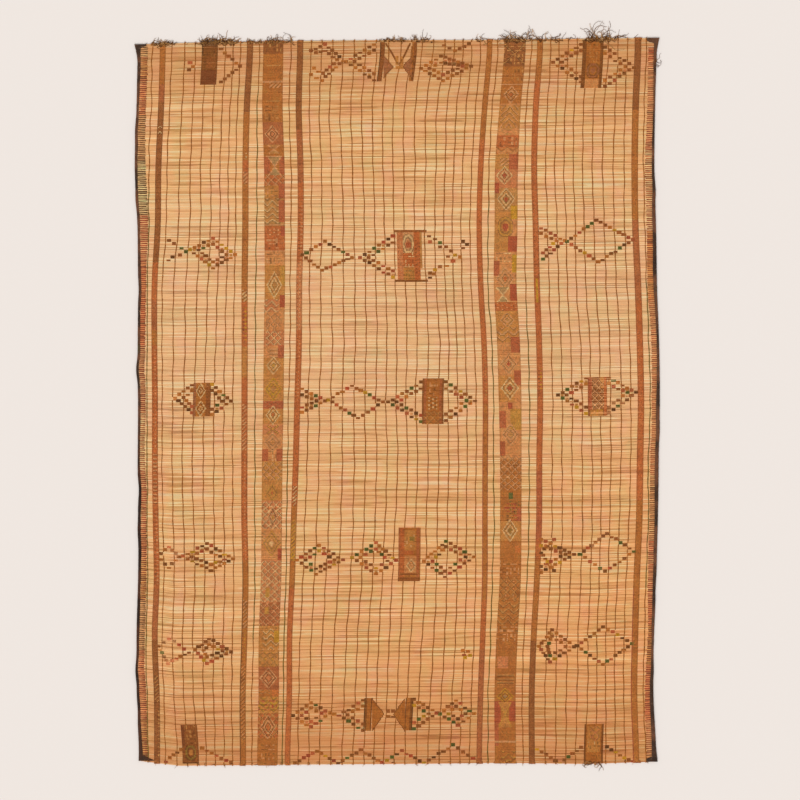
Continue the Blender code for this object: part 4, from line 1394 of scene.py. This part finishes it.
def make_panel(name, tree, material, seed):
    """A panel, thong by thong, in the dyes of its chart."""
    across, along, width, height = PANELS[name]
    rows = stem_rows_between(across, along - height / 2, along + height / 2)
    columns = max(3, round(width / LACING_PITCH))
    ground, chart = PANEL_CHARTS[name]
    laps = Laps(seed)
    level = photo_row(along_at(across, SHARES[rows]))
    for column in range(columns):
        share = (column + 0.5) / columns
        place = panel_line(name, rows, (share - 0.5) * width)
        shade = painted(chart, ground, share, level, columns)
        if column in (0, columns - 1):
            shade = shade * PANEL_EDGE
        laps.add(place, 0.99 * width / columns, PITCHES[rows], 0.05 if column % 2 else -0.05,
                 shade, rise=PANEL_RISE)
    return laps.make("laced_" + name, tree, material, [name])


# Triangles laced between the bars: photo column and rows of the base, the tip, the dye of
# the field and of its rim.
TRIANGLES = {
    "laced_triangles_top": (
        (383.5, 56, 78, 393.5, 66.5, "clay", "umber"), (412, 56, 78, 403, 66.5, "clay", "umber")),
    "laced_triangles_sixth_row": (
        (372, 698.5, 731, 384, 714, "brown", "umber"), (405, 698.5, 731, 393.5, 714, "brown", "umber")),
}
# Thongs drawn together into a V above the top triangles, in photo pixels.
DRAWN_IN = (((386, 43), (392, 52), (398, 63)), ((410, 43), (405, 53), (400, 62)))


def make_triangles(name, tree, material, seed):
    """Triangles that point at each other, row by row of stems."""
    laps = Laps(seed)
    for base, top, bottom, tip, tip_row, field, rim in TRIANGLES[name]:
        x_base, y_high = from_photo(base, top)
        x_tip, y_tip = from_photo(tip, tip_row)
        y_low = from_photo(base, bottom)[1]
        way = 1 if x_tip > x_base else -1
        for row in stem_rows_between(x_base, y_low, y_high):
            y = float(along_at(x_base, SHARES[row]))
            half = (y_high - y_tip) if y > y_tip else (y_tip - y_low)
            reach = abs(x_tip - x_base) * max(0.0, 1 - abs(y - y_tip) / half)
            count = int(reach / LACING_PITCH) + 1
            x = x_base + way * LACING_PITCH * (np.arange(count) + 0.5)
            place = beside(x, np.full(count, row))
            shade = np.tile(dye(field), (count, 1))
            shade[count - 1] = dye(rim)
            laps.add(place, LACING_PITCH * 0.99, PITCHES[row], 0.0, shade, rise=PANEL_RISE)
    if name == "laced_triangles_top":
        for path in DRAWN_IN:
            for column, row in chain(path, 4.6, 1.04):
                set_brick(laps, *from_photo(column, row), 2, 1, dye("umber"), PANEL_RISE)
        for column, row in chain(((397, 57), (397, 67), (402, 67), (402, 58)), 3.0, 3.0):
            set_brick(laps, *from_photo(column, row), 3, 3, dye("ochre"), PANEL_RISE)
    return laps.make(name, tree, material)


# Undersides: every thong and band also runs below the stems, and turns up round both ends.

STRIP_THICKNESS = 0.45
STRIP_STATIONS = 34
# The turn at the top end, from its tip down: how far outwards the strip's outer side lies and
# how high, and the same for its inner side.
END_TURN = (
    (-5.0, STEM_TOP + 0.35, -5.0, STEM_TOP + 0.35 - STRIP_THICKNESS),
    (2.2, STEM_TOP - 0.1, 1.65, STEM_TOP - 0.1 - STRIP_THICKNESS),
    (2.2, 0.9, 1.65, 0.9),
    (0.9, 0.0, 0.9, STRIP_THICKNESS),
)


def underside(across, width):
    """A closed flat ribbon below the stems that turns up over the end stems."""
    along = along_at(across, np.linspace(0, 1, STRIP_STATIONS))
    along = np.concatenate(([along[0]] * 3, along, [along[-1]] * 3))
    out, top, inner_out, inner_top = np.array(END_TURN).T

    def both_ends(values, between, sign):
        return np.concatenate((sign * values, np.full(STRIP_STATIONS - 2, between), values[::-1]))

    outer = along + both_ends(out, 0.0, -1), both_ends(top, 0.0, 1)
    inner = along + both_ends(inner_out, 0.0, -1), both_ends(inner_top, STRIP_THICKNESS, 1)
    left, right = across - width / 2, across + width / 2
    return [on_mat(left, *outer), on_mat(right, *outer), on_mat(right, *inner), on_mat(left, *inner)]


def loft(rings):
    """Closed solid from four or more long lines of points; returns a bmesh in metres."""
    solid = bmesh.new()
    lines = [[solid.verts.new(Vector(point) * MM) for point in line] for line in rings]
    for one, other in zip(lines, lines[1:] + lines[:1]):
        for a, b, c, d in zip(one, one[1:], other[1:], other):
            solid.faces.new((a, b, c, d))
    solid.faces.new([line[0] for line in lines])
    solid.faces.new([line[-1] for line in lines])
    bmesh.ops.recalc_face_normals(solid, faces=solid.faces)
    return solid


def mesh_from(name, solid):
    mesh = bpy.data.meshes.new(name)
    solid.to_mesh(mesh)
    solid.free()
    return mesh


def make_undersides(material):
    whole = bmesh.new()
    layer = whole.verts.layers.float_color.new("dye")
    strips_below = [(line, THONG_WIDTH, dye("thong")) for line in thong_lines()]
    for name, (middle, width) in BANDS.items():
        if not name.startswith("side"):
            strips_below.append((middle, width, dye("umber")))
    for across, width, shade in strips_below:
        mesh = mesh_from("strip", loft(underside(across, width)))
        before = len(whole.verts)
        whole.from_mesh(mesh)
        bpy.data.meshes.remove(mesh)
        whole.verts.ensure_lookup_table()
        for vert in whole.verts[before:]:
            vert[layer] = (*shade, 1.0)
    mesh = mesh_from("lacing_undersides", whole)
    mesh.materials.append(material)
    return finish_piece(show("lacing_undersides", mesh))


# Binding

# Each corner: flare, reach of the toe from the edge, its depth along the side, and the
# length over which it narrows.
CORNERS = {
    ("left", "bottom"): (2.0, 60.0, 3.0, 17.0),
    ("left", "top"): (11.5, 29.0, 6.0, 8.0),
    ("right", "bottom"): (5.0, 36.0, 10.0, 7.0),
    ("right", "top"): (10.0, 34.0, 11.0, 7.0),
}
FLARE_LENGTH = 60.0
# Heights of the upper flap's two faces, and the depth of the lower one.
FLAP_TOP = STEM_TOP + 1.1
FLAP_LOW = STEM_TOP + 0.08
UNDER_FLAP = 12.0
# The strip's section, from the lower flap's rim round the fold to the upper flap and back
# inside: distance inwards, height, and whether it puffs up with the creases.
FOLD = (
    (UNDER_FLAP, 0.0, False), (6.0, 0.0, False), (0.9, 0.0, False), (0.15, 0.35, False),
    (-0.15, 1.4, False), (-0.2, 2.6, False), (-0.1, 3.9, True), (0.4, FLAP_TOP - 0.25, True),
    (1.3, FLAP_TOP, True),
)
# The upper flap's own part is measured in shares of its width.
FLAP = (
    (0.5, FLAP_TOP, True), (0.94, FLAP_TOP - 0.05, True), (1.0, FLAP_TOP - 0.35, True),
    (0.99, FLAP_LOW, False), (0.5, FLAP_LOW, False),
)
INSIDE = (
    (2.4, FLAP_LOW - 0.1), (1.5, 2.8), (1.5, 1.3), (2.6, 0.46), (6.0, 0.46), (UNDER_FLAP, 0.46),
)


def make_binding(side, material):
    """Leather folded round one side: a wavering strip with creases and a toe at each corner."""
    random = np.random.default_rng(5 if side == "left" else 6)
    edge, inward = (GUIDE_LINES[0], 1) if side == "left" else (GUIDE_LINES[-1], -1)
    length = TOP_END[0] - BOTTOM_END[0]
    distance = np.concatenate((np.linspace(0, 24, 13), np.linspace(32, length - 32, 300),
                               np.linspace(length - 24, length, 13)))
    along = along_at(edge, distance / length)
    from_end = np.minimum(distance, length - distance)
    flare, reach, depth, taper = (
        np.where(distance / length > 0.5, at_top, at_bottom)
        for at_top, at_bottom in zip(CORNERS[(side, "top")], CORNERS[(side, "bottom")]))
    out = flare * np.clip(1 - from_end / FLARE_LENGTH, 0, 1) ** 1.5
    part = np.clip((from_end - depth) / taper, 0, 1)
    waver = (0.6 * np.sin(distance / 37 + 1.2) + 0.4 * np.sin(distance / 13.7)
             + random.normal(0, 0.2, len(distance)))
    flap = reach * (1 - part) + (flap_width(side, along) + waver) * part
    out = out + 0.5 * np.sin(distance / 61) + random.normal(0, 0.12, len(distance))
    puff = (0.25 + 0.2 * np.sin(distance / 9.0) * np.sin(distance / 47)
            + random.normal(0, 0.05, len(distance)))
    section = list(FOLD)
    section += [(share * flap, height, puffed) for share, height, puffed in FLAP]
    section += [(inside, height, False) for inside, height in INSIDE]
    lines = []
    for inside, height, puffed in section:
        inside = inside - out * np.clip(1 - inside / (flap + 1), 0, 1)
        lines.append(on_mat(edge + inward * inside, along, height + puff if puffed else height))
    solid = loft(lines)
    for face in solid.faces:
        face.smooth = True
    name = "folded_binding_" + side
    mesh = mesh_from(name, solid)
    mesh.materials.append(material)
    return finish_piece(show(name, mesh), ["binding_" + side])


# Frayed ends: edge, first and last place along it, matted curls and long strands, reach
# of the long ones and their lean in degrees.
FRAYED = {
    "frayed_end_1": ("top", -832, -768, 30, 6, 22, 15),
    "frayed_end_2": ("top", -668, -545, 105, 16, 30, 20),
    "frayed_end_3": ("top", -512, -456, 14, 5, 14, -30),
    "frayed_end_4": ("top", -446, -345, 20, 9, 34, 50),
    "frayed_end_5": ("top", -66, 44, 26, 6, 14, -30),
    "frayed_end_6": ("top", 54, 118, 13, 6, 28, -40),
    "frayed_end_7": ("top", 277, 345, 8, 4, 24, -60),
    "frayed_end_8": ("top", 360, 505, 46, 11, 36, -48),
    "frayed_end_9": ("top", 508, 600, 5, 6, 30, -66),
    "frayed_end_10": ("top", 630, 745, 28, 13, 60, 66),
    "loose_end_right": ("right", 1166, 1140, 3, 3, 30, -10),
    "loose_end_bottom": ("bottom", 695, 650, 5, 5, 26, 30),
}


def edge_point(edge, line):
    """A place on the mat's rim, in the mat's frame, and the way out from it."""
    if edge == "top":
        return (line, float(along_at(line, 1.0))), (0.0, 1.0)
    if edge == "bottom":
        return (line, float(along_at(line, 0.0))), (0.0, -1.0)
    return (GUIDE_LINES[-1], line), (1.0, 0.0)


# Height at which a strand leaves the mat.
STRAND_FOOT = STEM_TOP + 1.6
# Once it is this far past the rim, a strand drops at each point until it is on the ground.
PAST_RIM = 1.5
STRAND_DROP = 2.4
STRAND_ON_GROUND = 0.8
STRAND_POINTS = 16
STUB_POINTS = 8
# How much a strand bends at each point, by chance: long ones, short ones and stubs.
LONG_CURL = 0.17
SHORT_CURL = 0.46
STUB_CURL = 0.16
# How far a strand may turn from straight outwards, in radians, before it bends back.
STRAND_TURN = 1.6


def strand_paths(random, edge, starts, reaches, leans, points, curl, arc=0.0):
    """Curly paths that start on the mat, drop over its rim and wander over the ground."""
    paths = np.empty((len(starts), points, 3))
    curls = np.broadcast_to(curl, (len(starts),))
    arcs = np.broadcast_to(arc, (len(starts),))
    for k, (start, reach, heading, curl, arc) in enumerate(zip(starts, reaches, leans, curls, arcs)):
        (x, y), outward = edge_point(edge, start)
        outward = np.array(outward)
        sideways = np.array((outward[1], -outward[0]))
        rim = np.array((x + MAT_CENTRE_X, y + MAT_CENTRE_Y))
        bend = random.normal(0, curl)
        place = rim - outward * random.uniform(2, 9)
        height = STRAND_FOOT
        lifted = random.uniform(0.6, 4.0)
        for n in range(points):
            out = (place - rim) @ outward
            if out > PAST_RIM:
                wave = sin(pi * min(1.0, out / max(reach, 1.0)) * 0.9)
                height = max(STRAND_ON_GROUND + lifted * wave, height - STRAND_DROP)
            paths[k, n] = (*place, height)
            bend = 0.86 * (bend + random.normal(0, curl * 0.7))
            heading += bend + arc
            # A strand that has turned back lies flat again beside the mat.
            if abs(heading) > STRAND_TURN + 4.0 * abs(arc):
                bend -= 0.30 * heading
            place = place + (outward * cos(heading) + sideways * sin(heading)) * reach / (points - 3)
    return paths


def make_strands(name, tree, material, paths, thick, tones, nodes=()):
    """Strands along paths, each a tube that thins towards its tip."""
    points = paths.shape[1]
    mesh = paths_mesh(name, paths)
    taper = np.linspace(1.0, 0.45, points)[None, :]
    give(mesh, "half_thickness", "FLOAT", thick[:, None] * taper * MM)
    give(mesh, "strand_tone", "FLOAT", np.repeat(tones, points))
    item = grown(name, mesh, tree, material, Sides=5)
    item.data.attributes.remove(item.data.attributes["axis"])
    return finish_piece(item, nodes)


def make_frayed_ends(tree, material):
    """The tufts of the longer frayed ends, one piece each."""
    for k, (name, tuft) in enumerate(FRAYED.items()):
        edge, start, stop, curls, long_ones, reach, lean_degrees = tuft
        random = np.random.default_rng(100 + k)
        count = curls + long_ones
        starts = random.uniform(min(start, stop), max(start, stop), count)
        # Longer strands stand in the middle of a tuft.
        middle = 1 - np.abs(starts - (start + stop) / 2) / abs(stop - start)
        is_long = np.arange(count) >= curls
        reaches = np.where(is_long, reach * random.uniform(0.8, 1.25, count),
                           (8 + 0.55 * reach * random.uniform(0.3, 1.2, count)) * (0.5 + middle))
        leans = np.where(is_long, radians(lean_degrees) + random.normal(0, 0.42, count),
                         random.normal(0, 1.0, count))
        curl = np.where(is_long, LONG_CURL, SHORT_CURL)
        # Long strands arch over to one side.
        arc = np.where(is_long, random.uniform(0.05, 0.22, count) * np.sign(lean_degrees), 0.0)
        paths = strand_paths(
            random, edge, starts, reaches * 1.15, leans - 3.0 * arc, STRAND_POINTS, curl, arc)
        thick = np.where(is_long, random.uniform(0.8, 1.2, count), random.uniform(0.8, 1.35, count))
        tones = random.uniform(0, 1, count)
        make_strands("strands_" + name, tree, material, paths, thick, tones, [name])


def make_stubs(tree, material):
    """The short cut ends of the other thongs, at both ends of the mat."""
    for edge, end in (("top", LAST_STATION), ("bottom", -LAST_STATION)):
        random = np.random.default_rng(200 + len(edge))
        lines = [line + side for line in thong_lines() for side in (-1.2, 1.2)]
        for middle, width in BANDS.values():
            lines += list(np.linspace(middle - width / 2 + 2, middle + width / 2 - 2, int(width / 7) + 1))
        starts = np.array(lines) + sway(lines, end) + random.normal(0, 1.0, len(lines))
        reaches = random.uniform(3, 11, len(starts))
        leans = random.normal(0.2, 0.6, len(starts))
        paths = strand_paths(random, edge, starts, reaches, leans, STUB_POINTS, STUB_CURL)
        thick = random.uniform(0.45, 0.9, len(starts))
        tones = random.uniform(0, 1, len(starts))
        make_strands("thong_stubs_" + edge, tree, material, paths, thick, tones)


# Stage, in metres. The floor lies just below the mat's underside.

CAMERA_DISTANCE = 9.0
PHOTO_WIDTH = 800
FLOOR_HALF_SIZE = 20.0
FLOOR_DEPTH = 0.0004
SKY_COLOUR = (1.0, 0.99, 0.98, 1.0)
SKY_STRENGTH = 0.575
SOFT_BOX_STRENGTH = 1.92
SOFT_BOX_SPREAD = radians(38)
SOFT_BOX_TURN = (radians(30), radians(-18), 0.0)


def make_stage():
    """Plain pale floor, plain soft studio light and the camera straight above."""
    floor, tree = new_material("pale matt studio floor")
    plug(tree, tree.nodes["Principled BSDF"],
         {"Base Color": colour("#E8E0DA"), "Roughness": 0.9, "Specular IOR Level": 0.1})
    mesh = bpy.data.meshes.new("studio_floor")
    corners = [(x * FLOOR_HALF_SIZE, y * FLOOR_HALF_SIZE, -FLOOR_DEPTH)
               for x, y in ((-1, -1), (1, -1), (1, 1), (-1, 1))]
    mesh.from_pydata(corners, [], [(0, 1, 2, 3)])
    mesh.materials.append(floor)
    show("studio_floor", mesh)

    world = bpy.data.worlds.new("studio")
    world.use_nodes = True
    plug(world.node_tree, world.node_tree.nodes["Background"],
         {"Color": SKY_COLOUR, "Strength": SKY_STRENGTH})
    bpy.context.scene.world = world

    softbox = bpy.data.lights.new("large soft box", "SUN")
    softbox.energy = SOFT_BOX_STRENGTH
    softbox.angle = SOFT_BOX_SPREAD
    show("large soft box", softbox).rotation_euler = SOFT_BOX_TURN

    lens = bpy.data.cameras.new("camera")
    lens.sensor_width = 36.0
    lens.lens = lens.sensor_width * CAMERA_DISTANCE / (PHOTO_WIDTH * MM_PER_PIXEL * MM)
    camera = show("camera", lens)
    x, y = from_photo(PHOTO_WIDTH / 2, PHOTO_WIDTH / 2)
    camera.location = ((x + MAT_CENTRE_X) * MM, (y + MAT_CENTRE_Y) * MM,
                       CAMERA_DISTANCE + STEM_TOP * MM)
    bpy.context.scene.camera = camera
    bpy.context.scene.view_settings.view_transform = "Standard"


# Lines of the thin thongs in each piece: from and up to.
THONG_PIECES = (("thongs_left", -900, -340), ("thongs_centre", -340, 290), ("thongs_right", 290, 900))


def build():
    reed = reed_material()
    thong_leather = leather_material(
        "twisted leather thong, rubbed", "#CC965A", rubbed_share=0.20, patch_mm=30.0, roughness=0.66)
    laced = leather_material(
        "laced goat leather, vegetable dyed", "#E8B47C", rubbed_share=0.20, patch_mm=24.0, roughness=0.64)
    panelled = leather_material(
        "laced goat leather, dark dyed", "#D8A068", rubbed_share=0.16, patch_mm=18.0, roughness=0.62)
    black = black_leather_material()
    frayed = frayed_material()
    tubes = tube_tree()
    lap_nodes = lap_tree()

    stems = make_stems(tubes, reed)
    bricks = make_bricks(lap_nodes, panelled)
    lines = thong_lines()
    for name, low, high in THONG_PIECES:
        laps = Laps(high + 1000)
        for line in lines:
            if low <= line < high:
                thong(line, laps, bricks)
        laps.make(name, lap_nodes, thong_leather)
    for k, name in enumerate(BANDS):
        laps = Laps(50 + k)
        if name.startswith("side"):
            side_lacing(name, laps)
        elif name.startswith("wide"):
            chart = WIDE_LEFT if name.endswith("left") else WIDE_RIGHT
            laced_band(name, chart, WIDE_BAND_THONGS, laps, WIDE_BAND_EDGE)
        else:
            laced_band(name, NARROW[name], NARROW_BAND_THONGS, laps, NARROW_BAND_EDGE)
        laps.make("laced_" + name, lap_nodes, laced, [name])
    for k, name in enumerate(PANELS):
        make_panel(name, lap_nodes, panelled, 70 + k)
    for k, name in enumerate(TRIANGLES):
        make_triangles(name, lap_nodes, panelled, 90 + k)
    make_undersides(laced)
    for side in ("left", "right"):
        make_binding(side, black)
    make_frayed_ends(tubes, frayed)
    make_stubs(tubes, frayed)
    make_stage()


build()
